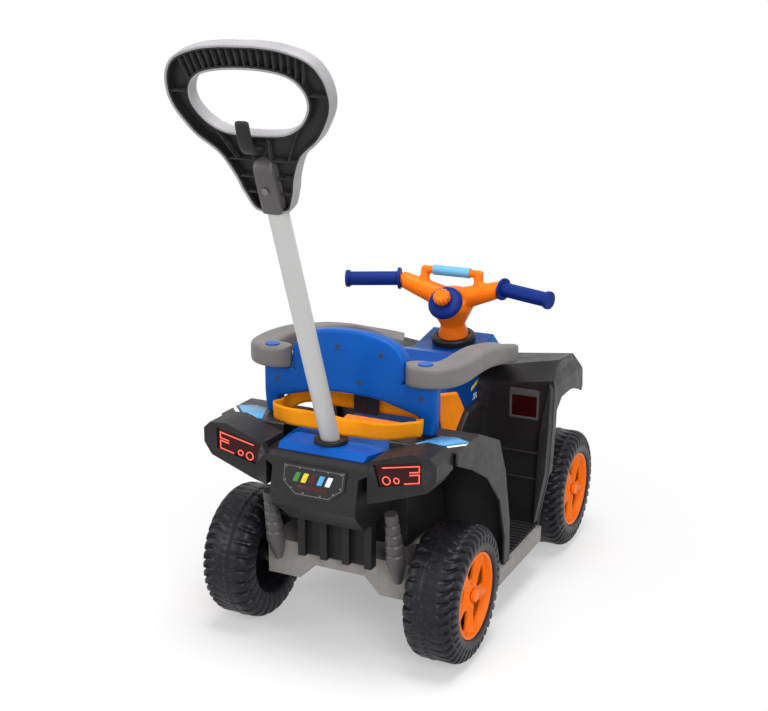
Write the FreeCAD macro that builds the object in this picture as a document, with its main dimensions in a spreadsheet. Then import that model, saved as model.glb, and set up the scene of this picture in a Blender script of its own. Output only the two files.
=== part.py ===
"""Child's push-along quad bike: moulded body, steered front wheels and a lift-out parent handle.

Lengths are millimetres. Stations are measured along Y from the rear axle, which lies
rear_axle_back behind the origin; X is the rider's right, Y is forward and Z is up.
"""
import FreeCAD, Part
import math
import os

import Sketcher
from FreeCAD import Placement, Rotation, Vector

SHEET_NAME = "Sizes"

DIMENSIONS = {
    # Wheels and axles
    "wheel_radius": 105,
    "tyre_width": 82,
    "track": 340,
    "wheel_base": 478,
    "rear_axle_back": 152,
    "rim_radius": 66,
    "tyre_wall": 6,
    "tread_wall": 11,
    "shoulder_drop": 10,
    "shoulder_run": 12,
    "lug_depth": 5,
    "lug_gap": 5,
    "lug_skew": 7,
    "lug_count": 34,
    "barrel_wall": 4,
    "web_wall": 4,
    "disc_offset": 14,
    "disc_wall": 15,
    "hub_radius": 15,
    "hub_inner_reach": 26,
    "hub_outer_reach": 32,
    "window_inner_radius": 25,
    "window_outer_radius": 55,
    "window_inner_half": 9,
    "window_outer_half": 23,
    "spoke_count": 5,
    "axle_radius": 5,
    "bush_radius": 9,
    "cap_radius": 10,
    "cap_depth": 7,
    "cap_cover": 3,
    # Fits
    "running_gap": 0.08,
    "seat_gap": 0.3,
    "overrun": 4,
    # Moulded walls
    "shell_wall": 4,
    # Chassis
    "spine_half_width": 58,
    "spine_bottom": 118,
    "spine_top": 150,
    "carrier_half_depth": 38,
    "bush_length": 19.7,
    "arch_crown_half": 41,
    "arch_crown_height": 120,
    "arch_foot_half": 68,
    "leg_bottom": 92,
    "leg_end_wall": 6,
    "board_half_width": 196,
    "board_back": 130,
    "board_front": 328,
    "board_bottom": 62,
    "board_top": 88,
    "web_setback": 30,
    "web_thickness": 14,
    "front_web_half_depth": 15,
    # Foot mats
    "mat_margin": 7,
    "mat_thickness": 2.5,
    "mat_rib_height": 3,
    "mat_rib_width": 5,
    "mat_rib_count": 12,
    # Middle cowl
    "cowl_half_width": 86,
    "cowl_back": 20,
    "cowl_front": 340,
    "cowl_top": 262,
    "cowl_step_back": 216,
    "cowl_step_front": 262,
    "cowl_shoulder": 296,
    # Saddle
    "seat_half_width": 84,
    "seat_rise": 62,
    # Tank
    "tank_half_width": 72,
    "tank_back": 152,
    "tank_front": 470,
    "tank_rise": 126,
    "tank_bevel": 15,
    "panel_length": 112,
    "panel_rise": 94,
    "panel_lift": 3.5,
    "panel_thickness": 6,
    "panel_bevel": 3,
    # Nose
    "nose_front": 600,
    "nose_rise": 190,
    "headlamp_half_span": 62,
    "headlamp_width": 40,
    "headlamp_height": 34,
    "headlamp_thickness": 5,
    # Rear fairing
    "fairing_back": 122,
    "fairing_bottom": 208,
    "deck_level": 322,
    "pod_outer": 188,
    "pod_bottom": 268,
    "pod_top": 352,
    "pod_back": 110,
    "pod_front": 52,
    "lamp_recess": 8,
    "lamp_thickness": 5,
    "plate_top_half": 51,
    "plate_bottom_half": 28,
    "plate_thickness": 2.5,
    "plate_margin": 3,
    "grille_half_width": 62,
    "grille_bottom": 138,
    "grille_plate": 7,
    "grille_rib_width": 12,
    "grille_rib_height": 10,
    "grille_rib_count": 4,
    "deck_rise": 10,
    "deck_back": 96,
    # Rear dampers
    "damper_radius": 15,
    "damper_top_radius": 9.5,
    "damper_length": 122,
    "damper_top": 242,
    "damper_lean": 12.5,
    "damper_tip_radius": 6,
    "damper_groove_depth": 2.5,
    "damper_coil_count": 5,
    # Rear fenders
    "fender_outer": 195,
    "fender_front": 178,
    "fender_top": 344,
    "fender_flat_end": 34,
    "fender_skirt": 5,
    # Front fenders
    "shield_back": 328,
    "shield_outer": 210,
    "lip_rise": 14,
    "lip_taper": 3,
    "shield_wall": 6,
    "shield_top": 350,
    "front_fender_front": 487,
    "knee_recess": 3,
    "knee_station": 157,
    "knee_half_width": 27,
    "knee_height": 54,
    "knee_bottom": 274,
    # Backrest
    "rest_back": -12,
    "rest_thickness": 24,
    "rest_half_width": 142,
    "rest_post_width": 24,
    "rest_shoulder_rise": 48,
    "rest_panel_half": 94,
    "rest_crown": 67,
    "rest_arch_rise": 28,
    "rest_arch_crown": 19,
    "rest_arch_half": 60,
    "rest_wall": 5,
    # Armrests
    "arm_width": 44,
    "arm_height": 32,
    "arm_overhang": 26,
    "arm_tail": 2,
    "arm_front": 346,
    "arm_drop": 64,
    "plug_inset": 126,
    "arm_groove_width": 18,
    "arm_groove_depth": 3,
    "plug_radius": 9,
    "plug_depth": 9,
    "plug_head_radius": 11,
    "plug_head": 2,
    # Safety belt
    "belt_width": 25,
    "belt_thickness": 2,
    "belt_half_span": 112,
    "belt_back_reach": 30,
    "belt_front_reach": 46,
    "belt_corner": 24,
    "buckle_length": 42,
    "buckle_height": 32,
    "buckle_thickness": 12,
    # Steering
    "rake_angle": 10,
    "collar_station": 395,
    "collar_height": 376,
    "collar_radius": 38,
    "collar_rise": 13,
    "collar_gap": 1,
    "collar_bevel": 3,
    "column_radius": 9,
    "column_gap": 0.5,
    "column_insertion": 24,
    "neck_radius": 27,
    "neck_waist": 21,
    "bowl_radius": 39,
    "bowl_height": 66,
    "bowl_depth": 26,
    "bowl_bevel": 9,
    "neck_waist_height": 32,
    "bar_height": 107,
    "bar_root_half": 16,
    "bar_root_height": 80,
    "bar_root_radius": 20,
    "bar_tip_radius": 14,
    "grip_start": 94,
    "grip_length": 98,
    "grip_sweep": 16,
    "grip_radius": 12.3,
    "grip_bar_radius": 8,
    "grip_flange_radius": 19,
    "grip_flange": 5,
    "grip_bead_radius": 15,
    "grip_bead": 7,
    "cross_half_span": 50,
    "cross_radius": 7,
    "cross_post_radius": 7,
    "cross_foot_radius": 10,
    "cross_rise": 19,
    "cross_forward": 8,
    "pad_half_span": 34,
    "pad_radius": 8.6,
    "dome_radius": 30.5,
    "dome_thickness": 13,
    "dome_edge": 9,
    "dome_lean": 40,
    "dome_back": 26,
    "dome_height": 80,
    "knob_radius": 15,
    "knob_height": 15,
    "knob_travel": 4,
    "knob_stem_radius": 6,
    "knob_stem_length": 17,
    "knob_edge": 4,
    # Front axle linkage
    "spacer_length": 15.7,
    "kingpin_radius": 5,
    "kingpin_head_radius": 9,
    "kingpin_head": 3,
    "knuckle_radius": 11,
    "knuckle_half_height": 22,
    "lug_thickness": 10,
    "lug_half_depth": 13,
    "knuckle_gap": 0.4,
    "arm_reach": 40,
    "arm_thickness": 7,
    "arm_half_width": 8,
    "link_pin_radius": 4,
    "link_thickness": 5,
    "link_half_width": 9,
    "link_eye_gap": 0.6,
    # Push handle
    "pole_lean": 21.5,
    "pole_station": -62,
    "pole_radius": 14,
    "pole_wall": 1.5,
    "pole_insertion": 118,
    "pole_gap": 0.4,
    "socket_wall": 4,
    "pole_collar_radius": 25,
    "pole_collar_rise": 7,
    "grip_loop_half_width": 116,
    "grip_loop_half_height": 72,
    "grip_loop_centre": 155,
    "grip_hole_half_width": 82,
    "grip_hole_half_height": 43,
    "grip_hole_rise": -3,
    "handle_neck_half": 26,
    "handle_start": 389,
    "handle_back_depth": 12,
    "handle_front_depth": 8,
    "handle_sleeve": 46,
    "handle_block_depth": 17,
    "hook_half_width": 11,
    "hook_level": 92,
    "hook_thickness": 9,
    "hook_reach": 26,
    "hook_rise": 48,
    # Fasteners
    "screw_radius": 5,
    "screw_head": 2.5,
}

document = FreeCAD.newDocument("kids_quad_bike")


class Size:
    """A value of the sheet, or one worked out from such values, with the formula that gives it."""

    def __init__(self, formula, value):
        self.formula = formula
        self.value = value

    def __add__(self, other):
        return combined(self, "+", other)

    def __radd__(self, other):
        return combined(other, "+", self)

    def __sub__(self, other):
        return combined(self, "-", other)

    def __rsub__(self, other):
        return combined(other, "-", self)

    def __mul__(self, other):
        return combined(self, "*", other)

    def __rmul__(self, other):
        return combined(other, "*", self)

    def __truediv__(self, other):
        return combined(self, "/", other)

    def __neg__(self):
        return combined(0, "-", self)


OPERATIONS = {
    "+": lambda a, b: a + b,
    "-": lambda a, b: a - b,
    "*": lambda a, b: a * b,
    "/": lambda a, b: a / b,
}


def as_size(amount):
    """Gives a plain number the same form as a value of the sheet."""
    if isinstance(amount, Size):
        return amount
    return Size(repr(amount), amount)


def combined(left, sign, right):
    left, right = as_size(left), as_size(right)
    formula = f"({left.formula} {sign} {right.formula})"
    return Size(formula, OPERATIONS[sign](left.value, right.value))


def of_angle(name, angle):
    """Sine, cosine or tangent of an angle of the sheet in degrees."""
    return Size(f"{name}({angle.formula} * 1 deg)", getattr(math, name)(math.radians(angle.value)))


class Sheet:
    """The spreadsheet of driving dimensions, with one attribute for each of its cells."""

    def __init__(self, dimensions):
        cells = document.addObject("Spreadsheet::Sheet", SHEET_NAME)
        for row, (name, value) in enumerate(dimensions.items(), start=1):
            cells.set(f"A{row}", name)
            cells.set(f"B{row}", str(value))
            cells.setAlias(f"B{row}", name)
            setattr(self, name, Size(f"{SHEET_NAME}.{name}", value))


s = Sheet(DIMENSIONS)
document.recompute()
finished = {}

PLANE_NORMAL_SIGN = {"XY": 1, "XZ": -1, "YZ": 1}
ALONG_X = Vector(1, 0, 0)
ALONG_Y = Vector(0, 1, 0)
ALONG_Z = Vector(0, 0, 1)
LEAN_AXIS = ALONG_X
QUARTER_TURN = 90
HALF_TURN = 180
FULL_TURN = 360
SIDES = (("right", 1), ("left", -1))


def bind(item, prop, size):
    item.setExpression(prop, as_size(size).formula)


def place(item, x=0, y=0, z=0, lean=0, axis=LEAN_AXIS):
    """Puts an object at a point, turned about an axis by a number of degrees."""
    item.Placement = Placement(Vector(), Rotation(axis, as_size(lean).value))
    for name, size in (("x", x), ("y", y), ("z", z)):
        bind(item, f"Placement.Base.{name}", size)
    return item


def keep(label, item, x=0, station=0, z=0, lean=0, axis=LEAN_AXIS):
    """Names a finished sub-part and puts it at its station, measured from the rear axle."""
    item.Label = label
    finished[label] = place(item, x, station - s.rear_axle_back, z, lean, axis)
    return item


def mirrored(label, source):
    """The left hand twin of a right hand sub-part."""
    twin = document.addObject("Part::Mirroring", label)
    twin.Source = source
    twin.Normal = ALONG_X
    finished[label] = twin
    return twin


def grouped(label, items):
    """Several separate solids that share one node."""
    group = document.addObject("Part::Compound", label)
    group.Links = items
    return group


def new_body(name):
    return document.addObject("PartDesign::Body", name)


def origin_feature(body, role):
    return next(feature for feature in body.Origin.OriginFeatures if feature.Role == role)


def draw_loop(sketch, points):
    """Closed polygon whose corners are dimensioned from the sketch origin."""
    first = sketch.GeometryCount
    count = len(points)
    corners = [Vector(as_size(u).value, as_size(v).value, 0) for u, v in points]
    for index in range(count):
        sketch.addGeometry(Part.LineSegment(corners[index], corners[(index + 1) % count]), False)
    for index in range(count):
        following = first + (index + 1) % count
        sketch.addConstraint(Sketcher.Constraint("Coincident", first + index, 2, following, 1))
    for index, (u, v) in enumerate(points):
        for kind, size, axis in (("DistanceX", as_size(u), -2), ("DistanceY", as_size(v), -1)):
            if size.value == 0:
                sketch.addConstraint(Sketcher.Constraint("PointOnObject", first + index, 1, axis))
                continue
            limit = Sketcher.Constraint(kind, -1, 1, first + index, 1, size.value)
            bind(sketch, f"Constraints[{sketch.addConstraint(limit)}]", size)


def new_sketch(body, plane, loops, offset):
    sketch = body.newObject("Sketcher::SketchObject", f"{body.Name}_outline")
    sketch.AttachmentSupport = [(origin_feature(body, f"{plane}_Plane"), "")]
    sketch.MapMode = "FlatFace"
    bind(sketch, "AttachmentOffset.Base.z", PLANE_NORMAL_SIGN[plane] * as_size(offset))
    for loop in loops:
        draw_loop(sketch, loop)
    return sketch


def slab(body, plane, loops, start, end, cut=False):
    """Adds, or cuts away, outlines of one plane drawn out from start to end along its normal."""
    from_start = (PLANE_NORMAL_SIGN[plane] > 0) != cut
    sketch = new_sketch(body, plane, loops, start if from_start else end)
    before = body.Shape.Volume if cut else 0
    feature = body.newObject("PartDesign::Pocket" if cut else "PartDesign::Pad", f"{body.Name}_slab")
    feature.Profile = sketch
    bind(feature, "Length", as_size(end) - start)
    document.recompute()
    if cut and body.Shape.Volume >= before:
        raise ValueError(f"{body.Name}: a cut removes nothing")
    return feature


def blended(body, plane, near, far, cut=False):
    """Adds, or cuts away, a straight blend of two outlines, each given with its offset from the plane."""
    sketches = [new_sketch(body, plane, [loop], offset) for loop, offset in (near, far)]
    before = body.Shape.Volume if cut else 0
    kind = "PartDesign::SubtractiveLoft" if cut else "PartDesign::AdditiveLoft"
    feature = body.newObject(kind, f"{body.Name}_blend")
    feature.Profile = sketches[0]
    feature.Sections = sketches[1:]
    feature.Ruled = True
    document.recompute()
    if cut and body.Shape.Volume >= before:
        raise ValueError(f"{body.Name}: a cut removes nothing")
    return feature


def turned(body, section):
    """Solid of revolution about the body's own X axis from a section of (x, radius) points."""
    sketch = new_sketch(body, "XY", [section], 0)
    feature = body.newObject("PartDesign::Revolution", f"{body.Name}_turning")
    feature.Profile = sketch
    feature.ReferenceAxis = (sketch, ["H_Axis"])
    document.recompute()
    return feature


def turned_upright(body, section):
    """Solid of revolution about the body's own Z axis from a section of (radius, z) points."""
    sketch = new_sketch(body, "XZ", [section], 0)
    feature = body.newObject("PartDesign::Revolution", f"{body.Name}_turning")
    feature.Profile = sketch
    feature.ReferenceAxis = (sketch, ["V_Axis"])
    document.recompute()
    return feature


def around(body, feature, role, count):
    """Repeats a feature evenly round one axis of its body."""
    pattern = body.newObject("PartDesign::PolarPattern", f"{body.Name}_ring")
    pattern.Originals = [feature]
    pattern.Axis = (origin_feature(body, role), [""])
    pattern.Angle = FULL_TURN
    bind(pattern, "Occurrences", count)
    body.Tip = pattern
    document.recompute()
    return pattern


def along(body, feature, role, length, count):
    """Repeats a feature evenly along one axis of its body."""
    pattern = body.newObject("PartDesign::LinearPattern", f"{body.Name}_row")
    pattern.Originals = [feature]
    pattern.Direction = (origin_feature(body, role), [""])
    bind(pattern, "Length", length)
    bind(pattern, "Occurrences", count)
    body.Tip = pattern
    document.recompute()
    return pattern


def softened(body, kind, wanted, prop, size):
    """Rounds or bevels the edges of a body that the test named wanted accepts."""
    base = body.Tip
    names = [f"Edge{index}" for index, edge in enumerate(base.Shape.Edges, start=1) if wanted(edge)]
    feature = body.newObject(f"PartDesign::{kind}", f"{body.Name}_{kind.lower()}")
    feature.Base = (base, names)
    bind(feature, prop, size)
    document.recompute()
    return feature


def outer_edges(level, axis):
    """Test for the edges that lie wholly at one level of an axis."""
    def wanted(edge):
        return all(math.isclose(getattr(vertex, axis), level.value) for vertex in edge.Vertexes)
    return wanted


def rectangle(u_low, u_high, v_low, v_high):
    return [(u_low, v_low), (u_high, v_low), (u_high, v_high), (u_low, v_high)]


def from_shares(shares, corner, extent):
    """Outline points from shares of a length and a height above a corner."""
    return [(corner[0] + u * extent[0], corner[1] + v * extent[1]) for u, v in shares]


def both_sides(half):
    """Whole outline from its right half, given from one end of the centre line to the other."""
    return half + [(-u, v) for u, v in reversed(half)]


def block(name, low, high):
    """Box between two corners."""
    box = document.addObject("Part::Box", name)
    for prop, a, b in zip(("Length", "Width", "Height"), low, high):
        bind(box, prop, as_size(b) - a)
    return place(box, *low)


def rod(name, radius, length, x=0, y=0, z=0, lean=0, axis=LEAN_AXIS):
    """Cylinder that starts at a point and, unturned, runs up Z."""
    cylinder = document.addObject("Part::Cylinder", name)
    bind(cylinder, "Radius", radius)
    bind(cylinder, "Height", length)
    return place(cylinder, x, y, z, lean, axis)


def cross_rod(name, radius, x_low, x_high, y=0, z=0):
    """Cylinder along X."""
    return rod(name, radius, as_size(x_high) - x_low, x_low, y, z, QUARTER_TURN, ALONG_Y)


def fused(name, items):
    union = document.addObject("Part::MultiFuse", name)
    union.Shapes = items
    return union


def less(name, base, tools):
    """A solid with one tool, or the union of several, cut out of it."""
    cut = document.addObject("Part::Cut", name)
    cut.Base = base
    cut.Tool = tools[0] if len(tools) == 1 else fused(f"{name}_tools", tools)
    return cut


def shared(name, items):
    """The space that several solids have in common."""
    common = document.addObject("Part::MultiCommon", name)
    common.Shapes = items
    return common


def leaning(lean, y_local, z_local):
    """Y and Z offsets of a point given in axes that lean back about X."""
    sine, cosine = of_angle("sin", lean), of_angle("cos", lean)
    return y_local * cosine - z_local * sine, y_local * sine + z_local * cosine


def make_wheels():
    """Moulded wheel with tread lugs, hub and web, and a five-spoke face, at each of the four corners."""
    half = s.tyre_width / 2
    tread_half = half - s.shoulder_run
    side = s.wheel_radius - s.shoulder_drop
    inner_half = half - s.tyre_wall
    barrel = s.rim_radius - s.barrel_wall
    outer_skin = [(-half, barrel), (-half, side), (-tread_half, s.wheel_radius),
                  (tread_half, s.wheel_radius), (half, side), (half, s.rim_radius)]
    web_back = s.disc_offset - s.web_wall
    bore = s.axle_radius + s.running_gap
    inner_skin = [(inner_half, s.rim_radius), (inner_half, side - s.tread_wall),
                  (tread_half, s.wheel_radius - s.tread_wall),
                  (-tread_half, s.wheel_radius - s.tread_wall),
                  (-inner_half, side - s.tread_wall), (-inner_half, s.rim_radius),
                  (s.disc_offset, s.rim_radius)]
    hub = [(s.disc_offset, bore), (-s.hub_inner_reach, bore), (-s.hub_inner_reach, s.hub_radius),
           (web_back, s.hub_radius), (web_back, barrel)]
    tyre = new_body("tyre_master")
    turned(tyre, outer_skin + inner_skin + hub)
    edge = half + s.overrun
    root_share = 0.12
    lug_root = root_share * s.tyre_width
    outer_gap = [(lug_root, -s.lug_gap), (edge, s.lug_skew - s.lug_gap), (edge, s.lug_skew), (lug_root, 0)]
    inner_gap = [(-lug_root, 0), (-lug_root, s.lug_gap), (-edge, s.lug_gap - s.lug_skew),
                 (-edge, -s.lug_skew)]
    floor = s.wheel_radius - s.lug_depth
    gaps = slab(tyre, "XY", [outer_gap, inner_gap], floor, s.wheel_radius + s.overrun, cut=True)
    around(tyre, gaps, "X_Axis", s.lug_count)

    rim = new_body("rim_master")
    flange = s.rim_radius - s.running_gap
    flange_inside = flange - s.barrel_wall
    disc_back = s.disc_offset + s.running_gap
    disc_face = s.disc_offset + s.disc_wall
    turned(rim, [(disc_back, bore), (s.hub_outer_reach, bore), (s.hub_outer_reach, s.hub_radius),
                 (disc_face, s.hub_radius), (disc_face, flange_inside), (half, flange_inside), (half, flange),
                 (disc_back, flange)])
    window = [(-s.window_inner_half, s.window_inner_radius), (s.window_inner_half, s.window_inner_radius),
              (s.window_outer_half, s.window_outer_radius), (-s.window_outer_half, s.window_outer_radius)]
    opening = slab(rim, "YZ", [window], s.disc_offset - s.overrun, disc_face + s.overrun, cut=True)
    around(rim, opening, "X_Axis", s.spoke_count)

    for end, station in (("rear", 0), ("front", s.wheel_base)):
        for side_name, sign in SIDES:
            turn = 0 if sign > 0 else HALF_TURN
            for piece, master in (("tyre", tyre), ("rim", rim)):
                label = f"{end}_{piece}_{side_name}"
                copy = grouped(label, [master])
                keep(label, copy, sign * s.track / 2, station, s.wheel_radius, turn, ALONG_Z)


def axle_cap(name, sign, hub_face):
    """Push-on cap over the end of an axle, just outside the hub."""
    outer_end = hub_face + s.cap_depth
    bore_end = outer_end - s.cap_cover
    spans = [(hub_face, outer_end), (hub_face - s.overrun, bore_end)]
    radii = [s.cap_radius, s.axle_radius + s.running_gap]
    solids = []
    for index, ((near, far), radius) in enumerate(zip(spans, radii)):
        low, high = (near, far) if sign > 0 else (-far, -near)
        solids.append(cross_rod(f"{name}_{index}", radius, low, high))
    return less(name, solids[0], solids[1:])


# Where the hubs start inside the track, and what stands inboard of them
HUB_INNER = s.track / 2 - s.hub_inner_reach - s.seat_gap
CARRIER_HALF = HUB_INNER - s.bush_length
KINGPIN_X = HUB_INNER - s.spacer_length
WEB_OUTER = KINGPIN_X - s.web_setback
WEB_INNER = WEB_OUTER - s.web_thickness


def make_rear_axle():
    """Fixed axle rod with a bush beside each chassis leg and a cap at each end."""
    hub_face = s.track / 2 + s.hub_outer_reach + s.seat_gap
    axle_end = hub_face + s.cap_depth - s.cap_cover
    rod_solid = cross_rod("rear_axle_rod", s.axle_radius, -axle_end, axle_end)
    keep("rear_axle", grouped("rear_axle", [rod_solid]), z=s.wheel_radius)
    bushes, caps = [], []
    for side, sign in SIDES:
        low, high = (CARRIER_HALF, HUB_INNER) if sign > 0 else (-HUB_INNER, -CARRIER_HALF)
        sleeve = cross_rod(f"bush_sleeve_{side}", s.bush_radius, low, high)
        bore_radius = s.axle_radius + s.running_gap
        bore = cross_rod(f"bush_bore_{side}", bore_radius, low - s.overrun, high + s.overrun)
        bushes.append(less(f"bush_{side}", sleeve, [bore]))
        caps.append(axle_cap(f"rear_cap_{side}", sign, hub_face))
    keep("rear_axle_bushes", grouped("rear_axle_bushes", bushes), z=s.wheel_radius)
    keep("rear_axle_caps", grouped("rear_axle_caps", caps), z=s.wheel_radius)


def raked_point(x, y_local, z_local):
    """Point given in the raked axes of the front wheel centres."""
    dy, dz = leaning(s.rake_angle, y_local, z_local)
    return x, s.wheel_base + dy, s.wheel_radius + dz


# Height of the steering collar and offset of the column, in the raked axes of the wheel centres
COLLAR_DY = s.collar_station - s.wheel_base
COLLAR_DZ = s.collar_height - s.wheel_radius
COLUMN_OFFSET = COLLAR_DY * of_angle("cos", s.rake_angle) + COLLAR_DZ * of_angle("sin", s.rake_angle)
COLLAR_LEVEL = COLLAR_DZ * of_angle("cos", s.rake_angle) - COLLAR_DY * of_angle("sin", s.rake_angle)
ARM_TOP = s.arm_thickness - s.knuckle_half_height
LINK_BOTTOM = ARM_TOP + s.knuckle_gap
COLUMN_BOTTOM = LINK_BOTTOM + s.link_thickness + s.knuckle_gap


def column_bore(name, extra):
    """Cutter round the whole steering column."""
    start = raked_point(0, COLUMN_OFFSET, COLUMN_BOTTOM - s.overrun)
    length = COLLAR_LEVEL - COLUMN_BOTTOM + s.overrun * 2
    return rod(name, s.column_radius + extra, length, *start, lean=s.rake_angle)


def make_chassis():
    """Moulded grey frame: spine, running boards, arched rear axle carrier and front kingpin lugs."""
    core = new_body("chassis_core")
    spine_front = s.wheel_base + s.carrier_half_depth
    wall = s.shell_wall
    slab(core, "YZ", [rectangle(-s.carrier_half_depth, spine_front, s.spine_bottom, s.spine_top)],
         -s.spine_half_width, s.spine_half_width)
    boards = [(s.board_half_width, s.board_bottom), (s.board_half_width, s.board_top),
              (s.spine_half_width, s.board_top), (s.spine_half_width, s.spine_bottom)]
    slab(core, "XZ", [both_sides(boards)], s.board_back, s.board_front)
    arch = [(s.arch_crown_half, s.arch_crown_height), (s.arch_foot_half, s.leg_bottom),
            (CARRIER_HALF, s.leg_bottom), (CARRIER_HALF, s.spine_top)]
    slab(core, "XZ", [both_sides(arch)], -s.carrier_half_depth, s.carrier_half_depth)
    lug_low = s.knuckle_half_height + s.knuckle_gap
    web_bottom = s.wheel_radius - lug_low - s.lug_thickness
    web = [(WEB_INNER, s.spine_bottom), (WEB_INNER, web_bottom),
           (WEB_OUTER, web_bottom), (WEB_OUTER, s.spine_top)]
    slab(core, "XZ", [both_sides(web)], s.wheel_base - s.front_web_half_depth,
         s.wheel_base + s.front_web_half_depth)
    tub_half = s.spine_half_width - wall
    hollow_top = s.spine_top - wall
    below = s.board_bottom - s.overrun
    board_inside = s.board_half_width - wall
    board_hollow = rectangle(s.spine_half_width, board_inside, below, s.board_top - wall)
    left_hollow = rectangle(-board_inside, -s.spine_half_width, below, s.board_top - wall)
    tub_hollow = rectangle(-tub_half, tub_half, below, hollow_top)
    slab(core, "XZ", [board_hollow, left_hollow, tub_hollow], s.board_back + wall,
         s.board_front - wall, cut=True)
    leg_low, leg_high = s.arch_foot_half + wall, CARRIER_HALF - s.leg_end_wall
    leg_hollows = [rectangle(leg_low, leg_high, s.leg_bottom - s.overrun, hollow_top),
                   rectangle(-leg_high, -leg_low, s.leg_bottom - s.overrun, hollow_top)]
    leg_depth = s.carrier_half_depth - wall
    slab(core, "XZ", leg_hollows, -leg_depth, leg_depth, cut=True)
    spine_hollow = rectangle(-tub_half, tub_half, s.spine_bottom - s.overrun, hollow_top)
    slab(core, "XZ", [spine_hollow], s.carrier_half_depth, s.board_back, cut=True)

    pieces, cutters = [core], []
    lug_end = KINGPIN_X + s.lug_half_depth
    bore_start = lug_low + s.lug_thickness + s.overrun
    for side, sign in SIDES:
        low_x = WEB_INNER if sign > 0 else -lug_end
        for level_name, level in (("upper", lug_low), ("lower", -lug_low - s.lug_thickness)):
            lug = document.addObject("Part::Box", f"{level_name}_lug_{side}")
            bind(lug, "Length", lug_end - WEB_INNER)
            bind(lug, "Width", s.lug_half_depth * 2)
            bind(lug, "Height", s.lug_thickness)
            pieces.append(place(lug, *raked_point(low_x, -s.lug_half_depth, level), lean=s.rake_angle))
        pin_x = sign * KINGPIN_X
        cutters.append(rod(f"kingpin_bore_{side}", s.kingpin_radius + s.running_gap, bore_start * 2,
                           *raked_point(pin_x, 0, -bore_start), lean=s.rake_angle))
    reach = CARRIER_HALF + s.overrun
    cutters.append(cross_rod("axle_bore", s.axle_radius + s.running_gap, -reach, reach, 0, s.wheel_radius))
    cutters.append(column_bore("column_bore_spine", s.column_gap))
    keep("chassis_frame", less("chassis_frame", fused("chassis_blank", pieces), cutters))


def make_foot_mats():
    """Ribbed mat on each running board."""
    mat = new_body("foot_mat_right")
    x_low, x_high = s.cowl_half_width + s.mat_margin, s.board_half_width - s.mat_margin
    y_low, y_high = s.fender_front + s.mat_margin, s.shield_back - s.mat_margin
    top = s.board_top + s.mat_thickness
    slab(mat, "XY", [rectangle(x_low, x_high, y_low, y_high)], s.board_top, top)
    first = rectangle(x_low, x_high, y_low, y_low + s.mat_rib_width)
    rib = slab(mat, "XY", [first], top, top + s.mat_rib_height)
    along(mat, rib, "Y_Axis", y_high - y_low - s.mat_rib_width, s.mat_rib_count)
    left = document.addObject("Part::Mirroring", "foot_mat_left")
    left.Source = mat
    left.Normal = ALONG_X
    keep("foot_mats", grouped("foot_mats", [mat, left]))


def make_cowl():
    """Black middle cowl between the running boards that carries the saddle and tank."""
    cowl = new_body("lower_cowl")
    wall, over = s.shell_wall, s.overrun
    skin = [(s.cowl_back, s.spine_top), (s.cowl_back, s.cowl_top), (s.cowl_step_back, s.cowl_top),
            (s.cowl_step_front, s.cowl_shoulder), (s.cowl_front, s.cowl_shoulder),
            (s.cowl_front, s.board_top),
            (s.board_back, s.board_top), (s.board_back, s.spine_top)]
    slab(cowl, "YZ", [skin], -s.cowl_half_width, s.cowl_half_width)
    inside = [(s.cowl_back + wall, s.spine_top - over), (s.cowl_back + wall, s.cowl_top - wall),
              (s.cowl_step_back, s.cowl_top - wall), (s.cowl_step_front, s.cowl_shoulder - wall),
              (s.cowl_front + over, s.cowl_shoulder - wall), (s.cowl_front + over, s.board_top - over),
              (s.board_back - over, s.board_top - over), (s.board_back - over, s.spine_top - over)]
    inner_half = s.cowl_half_width - wall
    slab(cowl, "YZ", [inside], -inner_half, inner_half, cut=True)
    keep("lower_cowl", cowl)


SEAT_SHARES = ((0, 0), (0, 0.92), (0.05, 1), (0.13, 0.98), (0.32, 0.62), (0.75, 0.52), (1, 0.6), (1, 0))


def make_seat():
    """Hollow saddle with a raised back lip."""
    seat = new_body("seat")
    wall, over = s.shell_wall, s.overrun
    length = s.tank_back - s.cowl_back
    skin = from_shares(SEAT_SHARES, (s.cowl_back, s.cowl_top), (length, s.seat_rise))
    slab(seat, "YZ", [skin], -s.seat_half_width, s.seat_half_width)
    inside = from_shares(SEAT_SHARES, (s.cowl_back + wall, s.cowl_top - over),
                         (length - wall * 2, s.seat_rise - wall + over))
    inner_half = s.seat_half_width - wall
    slab(seat, "YZ", [inside], -inner_half, inner_half, cut=True)
    keep("seat", seat)


TANK_BACK_SHARES = ((0.477, 1), (0.309, 0.884), (0.053, 0.74), (0, 0.56))
TANK_NOSE_SHARE = 0.7
COLLAR_SEAT_SHARE = 1.15
PANEL_SHARES = ((0, 0.96), (0.71, 0.76), (1, 0.36), (0.6, 0), (0.27, 0))


def tank_top(wall):
    """Top line of the tank, from the front to the back, lowered by a wall."""
    slope = of_angle("tan", s.rake_angle)
    reach = COLLAR_SEAT_SHARE * s.collar_radius
    top = [(s.tank_front - wall, s.cowl_top + TANK_NOSE_SHARE * s.tank_rise - wall)]
    for side in (1, -1):
        top.append((s.collar_station + side * reach, s.collar_height + side * reach * slope - wall))
    rear = from_shares(TANK_BACK_SHARES, (s.tank_back, s.cowl_top),
                       (s.collar_station - s.tank_back, s.tank_rise))
    top += [(y, z - wall) for y, z in rear[:-1]]
    last_y, last_z = rear[-1]
    return top + [(last_y + wall, last_z - wall)]


def upper_side_edges(edge):
    """Test for the long top edges of the tank."""
    ends = [vertex.Point for vertex in edge.Vertexes]
    on_side = all(math.isclose(abs(end.x), s.tank_half_width.value) for end in ends)
    along_top = abs(ends[0].y - ends[-1].y) > s.tank_bevel.value
    return on_side and along_top and min(end.z for end in ends) > s.cowl_shoulder.value + s.tank_bevel.value


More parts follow.
